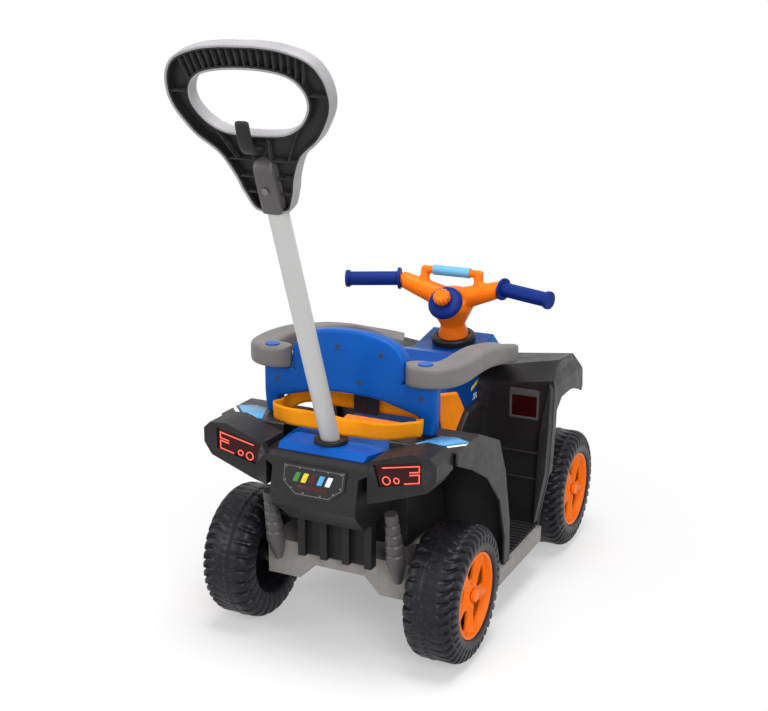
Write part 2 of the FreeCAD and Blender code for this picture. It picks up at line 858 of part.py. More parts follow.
def make_tank():
    """Blue tank cover with a raked seat for the steering collar."""
    tank = new_body("tank_shell")
    wall, over = s.shell_wall, s.overrun
    bottom = [(s.tank_back, s.cowl_top), (s.cowl_step_back, s.cowl_top), (s.cowl_step_front, s.cowl_shoulder),
              (s.tank_front, s.cowl_shoulder)]
    slab(tank, "YZ", [bottom + tank_top(as_size(0))], -s.tank_half_width, s.tank_half_width)
    open_bottom = [(s.tank_back + wall, s.cowl_top - over), (s.cowl_step_back, s.cowl_top - over),
                   (s.cowl_step_front, s.cowl_shoulder - over), (s.tank_front - wall, s.cowl_shoulder - over)]
    softened(tank, "Chamfer", upper_side_edges, "Size", s.tank_bevel)
    for inner_half, roof in ((s.tank_half_width - wall, s.tank_bevel + wall),
                             (s.tank_half_width - s.tank_bevel - wall, wall)):
        slab(tank, "YZ", [open_bottom + tank_top(roof)], -inner_half, inner_half, cut=True)
    keep("tank", less("tank", tank, [column_bore("column_bore_tank", s.column_gap)]))

    panel = new_body("side_panel_right")
    face = s.tank_half_width + s.panel_thickness
    outline = from_shares(PANEL_SHARES, (s.tank_back, s.cowl_top + s.panel_lift),
                          (s.panel_length, s.panel_rise))
    slab(panel, "YZ", [outline], s.tank_half_width, face)
    softened(panel, "Chamfer", outer_edges(face, "X"), "Size", s.panel_bevel)
    mirrored("side_panel_left", keep("side_panel_right", panel))


NOSE_SHARES = ((0, 1), (0.62, 0.88), (0.95, 0.62), (1, 0.28), (0.85, 0))
HEADLAMP_LEVEL_SHARE = 0.3


def nose_points(wall):
    corner, extent = (s.tank_front, s.spine_top), (s.nose_front - s.tank_front, s.nose_rise)
    points = from_shares(NOSE_SHARES, corner, extent)
    first_y, first_z = points[0]
    return [(first_y + wall, first_z - wall), (points[1][0], points[1][1] - wall)] + [
        (y - wall, z) for y, z in points[2:]]


def make_nose():
    """Front fairing ahead of the tank, with two moulded lamp plates."""
    nose = new_body("nose_shell")
    wall, over = s.shell_wall, s.overrun
    skin = [(s.cowl_front, s.spine_top), (s.cowl_front, s.cowl_shoulder), (s.tank_front, s.cowl_shoulder)]
    slab(nose, "YZ", [skin + nose_points(as_size(0))], -s.cowl_half_width, s.cowl_half_width)
    roof = s.cowl_shoulder - wall
    back = s.cowl_front - over
    foot_y = nose_points(wall)[-1][0]
    inside = [(back, s.spine_top - over), (back, roof), (s.tank_front + wall, roof)]
    inner_half = s.cowl_half_width - wall
    slab(nose, "YZ", [inside + nose_points(wall) + [(foot_y, s.spine_top - over)]], -inner_half, inner_half,
         cut=True)
    keep("front_fairing", less("front_fairing", nose, [column_bore("column_bore_nose", s.column_gap)]))

    top_y, top_z = nose_points(as_size(0))[2]
    low_y, low_z = nose_points(as_size(0))[3]
    face_lean = math.degrees(math.atan2((low_y - top_y).value, (top_z - low_z).value))
    lamps = []
    for side, sign in SIDES:
        lamp = new_body(f"headlamp_{side}")
        low, high = s.headlamp_half_span - s.headlamp_width, s.headlamp_half_span
        ends = (low, high) if sign > 0 else (-high, -low)
        slab(lamp, "XZ", [rectangle(*ends, 0, s.headlamp_height)], s.running_gap, s.headlamp_thickness)
        lamps.append(lamp)
    level = HEADLAMP_LEVEL_SHARE
    keep("headlamps", grouped("headlamps", lamps), 0, low_y + level * (top_y - low_y),
         low_z + level * (top_z - low_z), face_lean)


FAIRING_FRONT_SHARES = ((0.7, 0), (0.81, 0.44), (0.81, 0.82), (1, 0.9), (1, 1))
POD_SHARES = ((0, 0.74), (0.63, 1), (0.9, 0.98), (1, 0.86), (1, 0.6), (0.88, 0.38), (0.21, 0.07), (0, 0))
LAMP_SHARES = ((0.09, 0.71), (0.79, 0.9), (0.79, 0.52), (0.17, 0.33))
FAIRING_BACK_SHARES = ((0.85, 1), (0.9, 0.93), (1, 0.47), (0.97, 0.33), (0.62, 0))
PLATE_WAIST_SHARE = 0.4


def pod_outline(shares, inset):
    """Outline of a lamp pod seen from behind, as shares of the pod's own width and height."""
    x_low, z_low = s.cowl_half_width - s.shell_wall + inset, s.pod_bottom + inset
    width = s.pod_outer - s.cowl_half_width + s.shell_wall - inset * 2
    return from_shares(shares, (x_low, z_low), (width, s.pod_top - s.pod_bottom - inset * 2))


def fairing_back(wall):
    """Back line of the fairing, from its top to its bottom, moved forward by a wall."""
    height = s.deck_level - s.fairing_bottom
    points = [(-u * s.fairing_back, s.fairing_bottom + v * height) for u, v in FAIRING_BACK_SHARES]
    return [(y + wall, z) for y, z in points]


def make_rear_fairing():
    """Rear bumper shell with a lamp pod on each side, its lamps and its bare number plate."""
    wall, over = s.shell_wall, s.overrun
    none = as_size(0)
    inside = fairing_back(wall)
    floor, roof = s.fairing_bottom + wall, s.deck_level - wall
    front = s.cowl_back + over
    hollow = [(front, floor), (front, roof), (inside[0][0], roof)] + inside[1:-1] + [(inside[-1][0], floor)]
    skin = [(s.cowl_back, s.fairing_bottom), (s.cowl_back, s.deck_level)] + fairing_back(none)
    edge = from_shares(FAIRING_FRONT_SHARES, (none, s.fairing_bottom),
                       (s.cowl_half_width, s.deck_level - s.fairing_bottom))
    front_view = both_sides(edge)
    hollow_half = edge[1][0] - wall
    hollow_view = both_sides([(edge[0][0] - wall, floor), (hollow_half, edge[1][1]), (hollow_half, roof)])
    shells = []
    for name, side_view, back_view in (("skin", skin, front_view), ("hollow", hollow, hollow_view)):
        long_way = new_body(f"fairing_{name}_side")
        slab(long_way, "YZ", [side_view], -s.pod_outer, s.pod_outer)
        across = new_body(f"fairing_{name}_back")
        slab(across, "XZ", [back_view], -s.fairing_back - over, s.cowl_back + over * 2)
        shells.append(shared(f"fairing_{name}", [long_way, across]))
    socket_room = s.pole_radius + s.pole_gap + s.socket_wall + s.seat_gap
    socket_hole = pole_rod("fairing_bore", socket_room, -s.pole_insertion / 2, s.pole_insertion)
    centre = less("fairing_centre", shells[0], shells[1:] + [socket_hole])

    pods, lamps = [centre], []
    for side, sign in SIDES:
        pod = new_body(f"pod_{side}")
        outline = [(sign * x, z) for x, z in pod_outline(POD_SHARES, none)]
        inner = [(sign * x, z) for x, z in pod_outline(POD_SHARES, wall)]
        lamp_outline = [(sign * x, z) for x, z in pod_outline(LAMP_SHARES, none)]
        slab(pod, "XZ", [outline], -s.pod_back, -s.pod_front)
        slab(pod, "XZ", [inner], s.lamp_recess + wall - s.pod_back, over - s.pod_front, cut=True)
        slab(pod, "XZ", [lamp_outline], -s.pod_back - over, s.lamp_recess - s.pod_back, cut=True)
        lid_half = s.cowl_half_width + s.seat_gap
        lid_room = block(f"deck_room_{side}", (-lid_half, -s.fairing_back, s.deck_level),
                         (lid_half, s.cowl_back, s.pod_top + over))
        pods.append(less(f"pod_trimmed_{side}", pod, [lid_room]))
        lamp = new_body(f"tail_lamp_{side}")
        inset = [(sign * x, z) for x, z in pod_outline(LAMP_SHARES, s.seat_gap)]
        slab(lamp, "XZ", [inset], s.lamp_recess - s.lamp_thickness - s.pod_back, s.lamp_recess - s.pod_back)
        lamps.append(lamp)
    keep("rear_fairing", fused("rear_fairing", pods))
    keep("tail_lamps", grouped("tail_lamps", lamps))

    high_y, high_z = fairing_back(none)[1]
    low_y, low_z = fairing_back(none)[2]
    rise = high_z - low_z
    slope = math.degrees(math.atan2((high_y - low_y).value, rise.value))
    plate = new_body("rear_plate")
    outline = [(s.plate_bottom_half, s.plate_margin), (s.plate_top_half, PLATE_WAIST_SHARE * rise),
               (s.plate_top_half, rise - s.plate_margin)]
    slab(plate, "XZ", [both_sides(outline)], -s.plate_thickness, -s.running_gap)
    keep("rear_plate", plate, 0, low_y, low_z, -slope)


def make_grille():
    """Ribbed grille between the rear bumper and the chassis arch."""
    grille = new_body("rear_grille")
    back = -s.carrier_half_depth - s.running_gap
    face = back - s.grille_plate
    slab(grille, "XZ",
         [rectangle(-s.grille_half_width, s.grille_half_width, s.grille_bottom, s.fairing_bottom)],
         face, back)
    rib = slab(grille, "XZ", [rectangle(-s.grille_half_width, s.grille_rib_width - s.grille_half_width,
                                        s.grille_bottom, s.fairing_bottom)], face - s.grille_rib_height, face)
    along(grille, rib, "X_Axis", s.grille_half_width * 2 - s.grille_rib_width, s.grille_rib_count)
    keep("rear_grille", grille)


DAMPER_ROOM_SHARE = 0.61
DAMPER_TIP_SHARE = 0.3
DAMPER_GROOVE_SHARE = 0.2


def make_dampers():
    """Moulded rear damper with ring grooves, tapering to its lower eye."""
    damper = new_body("rear_damper_right")
    tip = DAMPER_TIP_SHARE * s.damper_length
    section = [(0, 0), (s.damper_tip_radius, 0), (s.damper_radius, tip)]
    pitch = (s.damper_length - tip) / s.damper_coil_count
    step = (s.damper_radius - s.damper_top_radius) / s.damper_coil_count
    count = int(s.damper_coil_count.value)
    half = DAMPER_GROOVE_SHARE * pitch
    narrowing = DAMPER_GROOVE_SHARE * step
    for index in range(1, count):
        groove = tip + pitch * index
        radius = s.damper_radius - step * index
        section += [(radius + narrowing, groove - half), (radius - s.damper_groove_depth, groove),
                    (radius - narrowing, groove + half)]
    section += [(s.damper_top_radius, s.damper_length), (0, s.damper_length)]
    turned_upright(damper, section)
    wheel_face = (s.track - s.tyre_width) / 2
    x = s.spine_half_width + DAMPER_ROOM_SHARE * (wheel_face - s.spine_half_width)
    rise = s.damper_length * of_angle("cos", s.damper_lean)
    tip_back = s.damper_tip_radius / of_angle("cos", s.damper_lean) + s.seat_gap
    keep("rear_damper_right", damper, x, -s.carrier_half_depth - tip_back, s.damper_top - rise, s.damper_lean)
    mirrored("rear_damper_left", damper)


FENDER_TOP_SHARES = ((0.73, 0.867), (0.865, 0.633), (0.978, 0.27), (1, 0))
FENDER_ARCH_SHARES = ((0.887, 0), (0.878, 0.19), (0.765, 0.469), (0.526, 0.684), (0.261, 0.816), (0, 0.918))


def make_rear_fenders():
    """Arched rear fender with an outer skirt, standing on the running board."""
    fender = new_body("rear_fender_right")
    back = s.seat_gap - s.pod_front
    corner, extent = (back, s.board_top), (s.fender_front - back, s.fender_top - s.board_top)
    top = [(back, s.fender_top), (s.fender_flat_end, s.fender_top)]
    top += from_shares(FENDER_TOP_SHARES, corner, extent)
    arch = from_shares(FENDER_ARCH_SHARES, corner, extent)
    slab(fender, "YZ", [top + arch], s.cowl_half_width, s.fender_outer)
    wall, below = s.shell_wall, s.board_top - s.overrun
    roof = [(y - wall, z - wall) for y, z in top[1:-1]]
    far_back = back - s.overrun
    under = [(far_back, below), (far_back, s.fender_top - wall)] + roof + [(s.fender_front - wall, below)]
    slab(fender, "YZ", [under], s.cowl_half_width - s.overrun, s.fender_outer - s.fender_skirt, cut=True)
    mirrored("rear_fender_left", keep("rear_fender_right", fender))


# The fender's side view where it meets the tank and at its outer edge, and its edge and lip from behind
SHIELD_INNER_SHARES = ((0, 0.92), (0.135, 1), (0.75, 1), (0.96, 0.89), (1, 0.82))
SHIELD_OUTER_SHARES = ((0, 0.99), (0.3, 1.08), (0.72, 1.06), (0.96, 0.93), (1, 0.82))
SHIELD_ARCH_SHARES = ((0.97, 0.79), (0.84, 0.83), (0.55, 0.86), (0.26, 0.86), (0.11, 0.8), (0.11, 0))
SHIELD_EDGE_SHARES = ((0.886, 0), (0.905, 0.12), (0.98, 0.43), (0.995, 0.7), (1, 0.95), (0.95, 1.1))
LIP_INNER_SHARES = ((0.872, 0.15), (0.89, 0.64), (0.91, 0.757), (0.962, 0.98))


def make_front_fenders():
    """Front fender that rises to its outer edge, whose back wall is the rider's lipped leg shield."""
    shell = new_body("front_fender_shell")
    corner = (s.shield_back, s.board_bottom)
    height = s.shield_top - s.board_bottom
    extent = (s.front_fender_front - s.shield_back, height)
    inner = from_shares(SHIELD_INNER_SHARES, corner, extent)
    outer = from_shares(SHIELD_OUTER_SHARES, corner, extent)
    arch = from_shares(SHIELD_ARCH_SHARES, corner, extent)
    start = s.tank_half_width + s.seat_gap
    blended(shell, "YZ", ([corner] + inner + arch, start), ([corner] + outer + arch, s.shield_outer))
    wall, over = s.shell_wall, s.overrun
    below = s.board_bottom - over
    wall_y = s.shield_back + s.shield_wall
    far = s.front_fender_front - wall
    rooms = []
    for top in (inner, outer):
        roof = [(wall_y, top[0][1])] + [(y, z - wall) for y, z in top[1:3]]
        roof += [(y - wall, z - wall) for y, z in top[3:4]]
        rooms.append([(wall_y, below)] + roof + [(far, top[-1][1]), (far, below)])
    blended(shell, "YZ", (rooms[0], start - over), (rooms[1], s.shield_outer - s.fender_skirt), cut=True)
    recess = rectangle(s.knee_station - s.knee_half_width, s.knee_station + s.knee_half_width,
                       s.knee_bottom, s.knee_bottom + s.knee_height)
    slab(shell, "XZ", [recess], s.shield_back - over, s.shield_back + s.knee_recess, cut=True)

    none = as_size(0)
    edge = from_shares(SHIELD_EDGE_SHARES, (none, s.board_bottom), (s.shield_outer, height))
    outline = new_body("front_fender_outline")
    high = edge[-1][1]
    slab(outline, "XZ", [[(none, below), (edge[0][0], below)] + edge[1:] + [(none, high)]],
         s.shield_back - over, s.front_fender_front + over)
    cowl_low = (none, s.shield_back - over, below)
    cowl_room = block("fender_cowl_room", cowl_low,
                      (s.cowl_half_width, s.front_fender_front + over, s.cowl_shoulder + s.seat_gap))
    nose_room = block("fender_nose_room", (none, inner[2][0], below),
                      (s.cowl_half_width, s.front_fender_front + over, high))
    trimmed = less("front_fender_trimmed", shared("front_fender_edged", [shell, outline]),
                   [cowl_room, nose_room])

    lip = new_body("front_fender_lip")
    inside = from_shares(LIP_INNER_SHARES, (none, s.board_bottom), (s.shield_outer, height))
    foot = inside + list(reversed(edge[1:5]))
    crest = [(x + s.lip_taper, z) for x, z in inside] + [(x - s.lip_taper, z) for x, z in reversed(edge[1:5])]
    blended(lip, "XZ", (foot, s.shield_back + over), (crest, s.shield_back - s.lip_rise))
    mirrored("front_fender_left", keep("front_fender_right", fused("front_fender_right", [trimmed, lip])))


DECK_TOP = s.deck_level + s.deck_rise
DECK_SHARES = ((0, 0), (0, 0.1), (0.1, 1), (1, 1), (1, 0))
DECK_BACK_SHARES = ((1, 0), (1, 0.3), (0.76, 1))
DECK_PLAN_SHARES = ((0.81, 0), (0.95, 0.44), (1, 0.65), (1, 1))


def pole_rod(name, radius, low, high):
    """Cylinder on the leaning axis of the push pole, between two heights along it from the deck."""
    dy, dz = leaning(s.pole_lean, as_size(0), as_size(low))
    return rod(name, radius, as_size(high) - low, 0, s.pole_station + dy, DECK_TOP + dz, s.pole_lean)


def deck_form(name, inset, below):
    """Form of the deck, drawn in by an inset and reaching below its foot: the views it has in common."""
    length = s.deck_back + s.cowl_back - inset * 2
    half = s.cowl_half_width - inset
    start, base = inset - s.deck_back, s.deck_level - below
    rise = s.deck_rise - inset + below
    none = as_size(0)
    long_way = new_body(f"{name}_side")
    slab(long_way, "YZ", [from_shares(DECK_SHARES, (start, base), (length, rise))], -half, half)
    across = new_body(f"{name}_back")
    slab(across, "XZ", [both_sides(from_shares(DECK_BACK_SHARES, (none, base), (half, rise)))],
         start, start + length)
    plan = new_body(f"{name}_plan")
    slab(plan, "XY", [both_sides(from_shares(DECK_PLAN_SHARES, (none, start), (half, length)))],
         base, base + rise)
    return shared(name, [long_way, across, plan])


def make_deck():
    """Blue rear deck with the collar and socket that take the push pole."""
    wall = s.shell_wall
    deck = deck_form("deck_skin", as_size(0), as_size(0))
    hollow = deck_form("deck_hollow", wall, s.overrun)
    bore = s.pole_radius + s.pole_gap
    reach = s.pole_insertion
    keep("rear_deck", less("rear_deck", deck, [hollow, pole_rod("deck_bore", bore, -reach, reach)]))

    ring = rod("collar_blank", s.pole_collar_radius, s.pole_collar_rise, 0, s.pole_station, DECK_TOP)
    keep("pole_collar", less("pole_collar", ring, [pole_rod("collar_bore", bore, -reach, reach)]))

    floor = s.fairing_bottom + wall
    half = s.cowl_half_width
    sleeve = pole_rod("socket_sleeve", bore + s.socket_wall, -reach * 2, reach)
    well = pole_rod("socket_well", bore, -s.pole_insertion - s.seat_gap, reach * 2)
    low_trim = block("socket_low_trim", (-half, -s.deck_level, -s.deck_level), (half, s.deck_level, floor))
    high_trim = block("socket_high_trim", (-half, -s.deck_level, DECK_TOP - wall),
                      (half, s.deck_level, DECK_TOP * 2))
    keep("pole_socket", less("pole_socket", sleeve, [well, low_trim, high_trim]))


# Heights of the backrest's arch, shoulders and top
REST_ARCH = s.fender_top + s.rest_arch_rise
REST_ARCH_TOP = REST_ARCH + s.rest_arch_crown
REST_SHOULDER = REST_ARCH + s.rest_shoulder_rise
REST_TOP = REST_SHOULDER + s.rest_crown
REST_CROWN_SHARE = 0.6
REST_CORNER_SHARE = 0.88
REST_SHOULDER_SHARE = 0.86
REST_TOP_SHARE = 0.54
SCREW_SHARES = ((-0.84, 0.39), (0.84, 0.39), (-0.39, 0.79), (0.39, 0.79), (-0.11, 0.82), (0.14, 0.47))


def rest_outline(inset):
    """Outline of the backrest, drawn in by an inset."""
    base, arch = s.fender_top + inset, REST_ARCH + inset
    inner_post = s.rest_half_width - s.rest_post_width + inset
    outer = s.rest_half_width - inset
    shoulder, panel = REST_SHOULDER - inset, s.rest_panel_half - inset
    half = [(s.rest_arch_half, REST_ARCH_TOP + inset), (inner_post, arch), (inner_post, base), (outer, base),
            (outer, shoulder), (panel, shoulder), (panel, REST_SHOULDER + REST_CROWN_SHARE * s.rest_crown),
            (REST_CORNER_SHARE * panel, REST_SHOULDER + REST_SHOULDER_SHARE * s.rest_crown - inset),
            (REST_TOP_SHARE * panel, REST_TOP - inset)]
    return both_sides(half)


def make_backrest():
    """Two-shell backrest arched over its posts, closed by screws from behind."""
    split = s.rest_back + s.rest_thickness / 2
    front = s.rest_back + s.rest_thickness
    none, wall = as_size(0), s.rest_wall
    back_shell = new_body("backrest_rear_shell")
    slab(back_shell, "XZ", [rest_outline(none)], s.rest_back, split)
    slab(back_shell, "XZ", [rest_outline(wall)], s.rest_back + wall, split + s.overrun, cut=True)
    front_shell = new_body("backrest_front")
    slab(front_shell, "XZ", [rest_outline(none)], split, front)
    slab(front_shell, "XZ", [rest_outline(wall)], split - s.overrun, front - wall, cut=True)
    keep("backrest_front", front_shell)

    seats, screws = [], []
    height = REST_TOP - s.fender_top
    depth = s.screw_head + s.seat_gap
    for index, (across, up) in enumerate(SCREW_SHARES):
        x, z = across * s.rest_half_width, s.fender_top + up * height
        seats.append(rod(f"screw_seat_{index}", s.screw_radius + s.seat_gap, depth + s.overrun,
                         x, s.rest_back - s.overrun, z, -QUARTER_TURN))
        screws.append(rod(f"screw_{index}", s.screw_radius, s.screw_head, x, s.rest_back + s.seat_gap, z,
                          -QUARTER_TURN))
    keep("backrest_back", less("backrest_back", back_shell, seats))
    keep("backrest_screws", grouped("backrest_screws", screws))


ARM_X_SHARES = (0.877, 0.98, 1, 0.995, 0.966, 0.91, 0.72)
ARM_Y_SHARES = (0, 0.145, 0.313, 0.6, 0.73, 0.87, 0.965)
ARM_DROP_SHARES = (0, 0, 0, 0.28, 0.43, 0.68, 0.88)
ARM_GROOVE_STATIONS = slice(1, 5)


def arm_section(x, y, top, along_x, along_y, width, height):
    """Upright rectangle across the run of the armrest."""
    across = Vector(along_y, -along_x, 0)
    across.normalize()
    half = across * (width / 2)
    middle = Vector(x, y, top)
    drop = Vector(0, 0, -height)
    corners = [middle - half, middle + half, middle + half + drop, middle - half + drop]
    return Part.makePolygon(corners + corners[:1])


def make_armrests():
    """Grey armrest that runs from the backrest shoulder round to the tank, with a groove in its top."""
    reach = s.rest_half_width.value + s.arm_overhang.value - s.arm_width.value / 2
    back = s.rest_back.value - s.arm_tail.value
    length = s.arm_front.value - back
    top = REST_SHOULDER.value + s.seat_gap.value + s.arm_height.value
    path = [(reach * x, back + length * y, top - s.arm_drop.value * z)
            for x, y, z in zip(ARM_X_SHARES, ARM_Y_SHARES, ARM_DROP_SHARES)]
    path.append((s.tank_half_width.value + s.seat_gap.value, s.arm_front.value, top - s.arm_drop.value))
    headings = []
    for index, (x, y, _) in enumerate(path):
        before, after = path[max(index - 1, 0)], path[min(index + 1, len(path) - 1)]
        headings.append((after[0] - before[0], after[1] - before[1]))
    headings[-1] = (-1, 0)
    width, height = s.arm_width.value, s.arm_height.value
    sections = [arm_section(*point, *heading, width, height) for point, heading in zip(path, headings)]
    tail_x, tail_y, tail_z = path[0]
    tail = Part.makeCylinder(width / 2, height, Vector(tail_x, tail_y, tail_z - height))
    bar = Part.makeLoft(sections, True, True).fuse(tail)
    groove_depth, over = s.arm_groove_depth.value, s.overrun.value
    groove_sections = []
    for (x, y, z), heading in list(zip(path, headings))[ARM_GROOVE_STATIONS]:
        groove_sections.append(arm_section(x, y, z + over, *heading, s.arm_groove_width.value,
                                           groove_depth + over))
    arm = document.addObject("Part::Feature", "arm_blank")
    arm.Shape = bar.cut(Part.makeLoft(groove_sections, True, True))
    plug_x, plug_y = s.plug_inset, s.rest_back
    head_level = REST_SHOULDER + s.seat_gap + s.arm_height
    hole = rod("plug_hole", s.plug_radius + s.seat_gap, s.plug_depth + s.overrun, plug_x, plug_y,
               head_level - s.plug_depth)
    keep("armrest_right", less("armrest_right", arm, [hole]))
    mirrored("armrest_left", finished["armrest_right"])
    plugs = []
    for side, sign in SIDES:
        stem = rod(f"plug_stem_{side}", s.plug_radius, s.plug_depth - s.seat_gap, sign * plug_x, plug_y,
                   head_level - s.plug_depth + s.seat_gap)
        head = rod(f"plug_head_{side}", s.plug_head_radius, s.plug_head, sign * plug_x, plug_y, head_level)
        plugs.append(fused(f"plug_{side}", [stem, head]))
    keep("armrest_plugs", grouped("armrest_plugs", plugs))


def belt_loop(inset):
    """Plan of the belt loop with cut corners, drawn in by an inset."""
    half, corner = s.belt_half_span - inset, s.belt_corner
    low = s.rest_back - s.belt_back_reach + inset
    high = s.rest_back + s.rest_thickness + s.belt_front_reach - inset
    return [(half - corner, low), (half, low + corner), (half, high - corner), (half - corner, high),
            (corner - half, high), (-half, high - corner), (-half, low + corner), (corner - half, low)]


def make_belt():
    """Webbing belt that loops through the backrest arch, with its buckle at the front."""
    belt = new_body("belt")
    low = s.fender_top + s.seat_gap
    slab(belt, "XY", [belt_loop(as_size(0)), belt_loop(s.belt_thickness)], low, low + s.belt_width)
    keep("belt", belt)
    front = s.rest_back + s.rest_thickness + s.belt_front_reach
    middle_y, middle_z = front - s.belt_thickness / 2, low + s.belt_width / 2
    half_length, half_depth, half_height = s.buckle_length / 2, s.buckle_thickness / 2, s.buckle_height / 2
    case = block("buckle_case", (-half_length, middle_y - half_depth, middle_z - half_height),
                 (half_length, middle_y + half_depth, middle_z + half_height))
    slot_depth, slot_height = s.belt_thickness / 2 + s.seat_gap, s.belt_width / 2 + s.seat_gap
    slot_length = half_length + s.overrun
    slot = block("buckle_slot", (-slot_length, middle_y - slot_depth, middle_z - slot_height),
                 (slot_length, middle_y + slot_depth, middle_z + slot_height))
    keep("belt_buckle", less("belt_buckle", case, [slot]))


def directed_cone(name, start, end, start_radius, end_radius):
    """Round bar between two points, which may taper."""
    run = [b - as_size(a) for a, b in zip(start, end)]
    direction = Vector(*(as_size(part).value for part in run))
    kind = "Part::Cylinder" if start_radius is end_radius else "Part::Cone"
    cone = document.addObject(kind, name)
    if start_radius is end_radius:
        bind(cone, "Radius", start_radius)
    else:
        bind(cone, "Radius1", start_radius)
        bind(cone, "Radius2", end_radius)
    cone.Height = direction.Length
    turn = Rotation(ALONG_Z, direction)
    return place(cone, *start, lean=math.degrees(turn.Angle), axis=turn.Axis)


def keep_on_column(label, item, y=0, z=0, lean=0):
    """Names a sub-part that is built in the raked axes of the steering collar."""
    dy, dz = leaning(s.rake_angle, as_size(y), as_size(z))
    keep(label, item, 0, s.collar_station + dy, s.collar_height + dz, s.rake_angle + lean)


def make_steering():
    """Handlebar with its grips, column and horn, in axes that lean back with the column."""
    collar = new_body("steering_collar")
    collar_bore = s.neck_radius + s.collar_gap
    lip = s.collar_radius - s.collar_bevel
    turned_upright(collar, [(collar_bore, 0), (s.collar_radius, 0),
                            (s.collar_radius, s.collar_rise - s.collar_bevel),
                            (lip, s.collar_rise), (collar_bore, s.collar_rise)])
    keep_on_column("steering_collar", collar)

    neck = new_body("handlebar_neck")
    foot, rise = s.seat_gap, s.bowl_height
    bowl_top = rise + s.bowl_depth
    turned_upright(neck, [(0, foot), (s.neck_radius, foot), (s.neck_radius, s.collar_rise),
                          (s.neck_waist, s.neck_waist_height), (s.bowl_radius, rise),
                          (s.bowl_radius, bowl_top - s.bowl_bevel), (s.bowl_radius - s.bowl_bevel, bowl_top),
                          (0, bowl_top)])
    pieces, cores, rooms = [neck], [], []
    sine, cosine = of_angle("sin", s.grip_sweep), of_angle("cos", s.grip_sweep)
    for side, sign in SIDES:
        root = (sign * s.bar_root_half, 0, s.bar_root_height)
        tip = (sign * s.grip_start, 0, s.bar_height)
        pieces.append(directed_cone(f"bar_{side}", root, tip, s.bar_root_radius, s.bar_tip_radius))
        run = s.grip_length - s.grip_bead
        core_end = (sign * (s.grip_start + run * cosine), -run * sine, s.bar_height)
        core_root = (sign * (s.grip_start - s.bar_tip_radius * cosine), s.bar_tip_radius * sine, s.bar_height)
        cores.append(directed_cone(f"bar_core_{side}", core_root, core_end, s.grip_bar_radius,
                                   s.grip_bar_radius))
        rooms.append(directed_cone(f"grip_room_{side}", tip, core_end, s.grip_flange_radius,
                                   s.grip_flange_radius))
        post_top = (sign * s.cross_half_span, s.cross_forward, s.bar_height + s.cross_rise)
        post_low = (sign * s.cross_half_span, 0, s.bar_height - s.cross_radius)
        pieces.append(directed_cone(f"cross_post_{side}", post_low, post_top, s.cross_foot_radius,
                                    s.cross_post_radius))
    cross_end = s.cross_half_span + s.cross_radius
    pieces.append(cross_rod("cross_bar", s.cross_radius, -cross_end, cross_end, s.cross_forward,
                            s.bar_height + s.cross_rise))
    socket = rod("column_socket", s.column_radius + s.running_gap, s.column_insertion, z=0)
    dome_axes = (0, -s.dome_back, s.dome_height)
    facet = rod("horn_facet", s.dome_radius + s.seat_gap, s.bowl_radius * 2, *dome_axes, s.dome_lean)
    well_depth = s.knob_stem_length + s.knob_travel
    dy, dz = leaning(s.dome_lean, as_size(0), -well_depth)
    well = rod("horn_well", s.knob_stem_radius + s.column_gap, well_depth * 2, 0, dy - s.dome_back,
               dz + s.dome_height, s.dome_lean)
    blank = less("handlebar_trimmed", fused("handlebar_blank", pieces), [socket, facet, well] + rooms)
    keep_on_column("handlebar", fused("handlebar", [blank] + cores))

    sleeve = cross_rod("pad_sleeve", s.pad_radius, -s.pad_half_span, s.pad_half_span)
    pad_bore = cross_rod("pad_bore", s.cross_radius + s.running_gap, -cross_end, cross_end)
    keep_on_column("crossbar_pad", less("crossbar_pad", sleeve, [pad_bore]), s.cross_forward,
                   s.bar_height + s.cross_rise)

    for side, sign in SIDES:
        grip = new_body(f"grip_{side}_turned")
        start, end = s.seat_gap, s.grip_length
        bore, core_end = s.grip_bar_radius + s.running_gap, s.grip_length - s.grip_bead + s.seat_gap
        turned(grip, [(start, bore), (start, s.grip_flange_radius), (s.grip_flange, s.grip_flange_radius),
                      (s.grip_flange, s.grip_radius), (end - s.grip_bead, s.grip_radius),
                      (end - s.grip_bead, s.grip_bead_radius), (end, s.grip_bead_radius), (end, 0),
                      (core_end, 0),
                      (core_end, bore)])
        turn = -s.grip_sweep.value if sign > 0 else HALF_TURN + s.grip_sweep.value
        place(grip, sign * s.grip_start, 0, s.bar_height, turn, ALONG_Z)
        keep_on_column(f"grip_{side}", grouped(f"grip_{side}", [grip]))

    dome = new_body("horn_bezel")
    stem_bore = s.knob_stem_radius + s.column_gap
    turned_upright(dome, [(stem_bore, s.running_gap), (s.dome_radius, s.running_gap),
                          (s.dome_radius, s.dome_edge), (s.dome_radius - s.dome_edge, s.dome_thickness),
                          (stem_bore, s.dome_thickness)])
    keep_on_column("horn_bezel", dome, -s.dome_back, s.dome_height, s.dome_lean)
    knob = new_body("horn_button")
    rest = s.dome_thickness + s.knob_travel + s.seat_gap
    stem_end = s.dome_thickness - s.knob_stem_length
    crown = rest + s.knob_height
    turned_upright(knob, [(0, stem_end), (s.knob_stem_radius, stem_end), (s.knob_stem_radius, rest),
                          (s.knob_radius, rest), (s.knob_radius, crown - s.knob_edge),
                          (s.knob_radius - s.knob_edge, crown), (0, crown)])
    keep_on_column("horn_button", knob, -s.dome_back, s.dome_height, s.dome_lean)


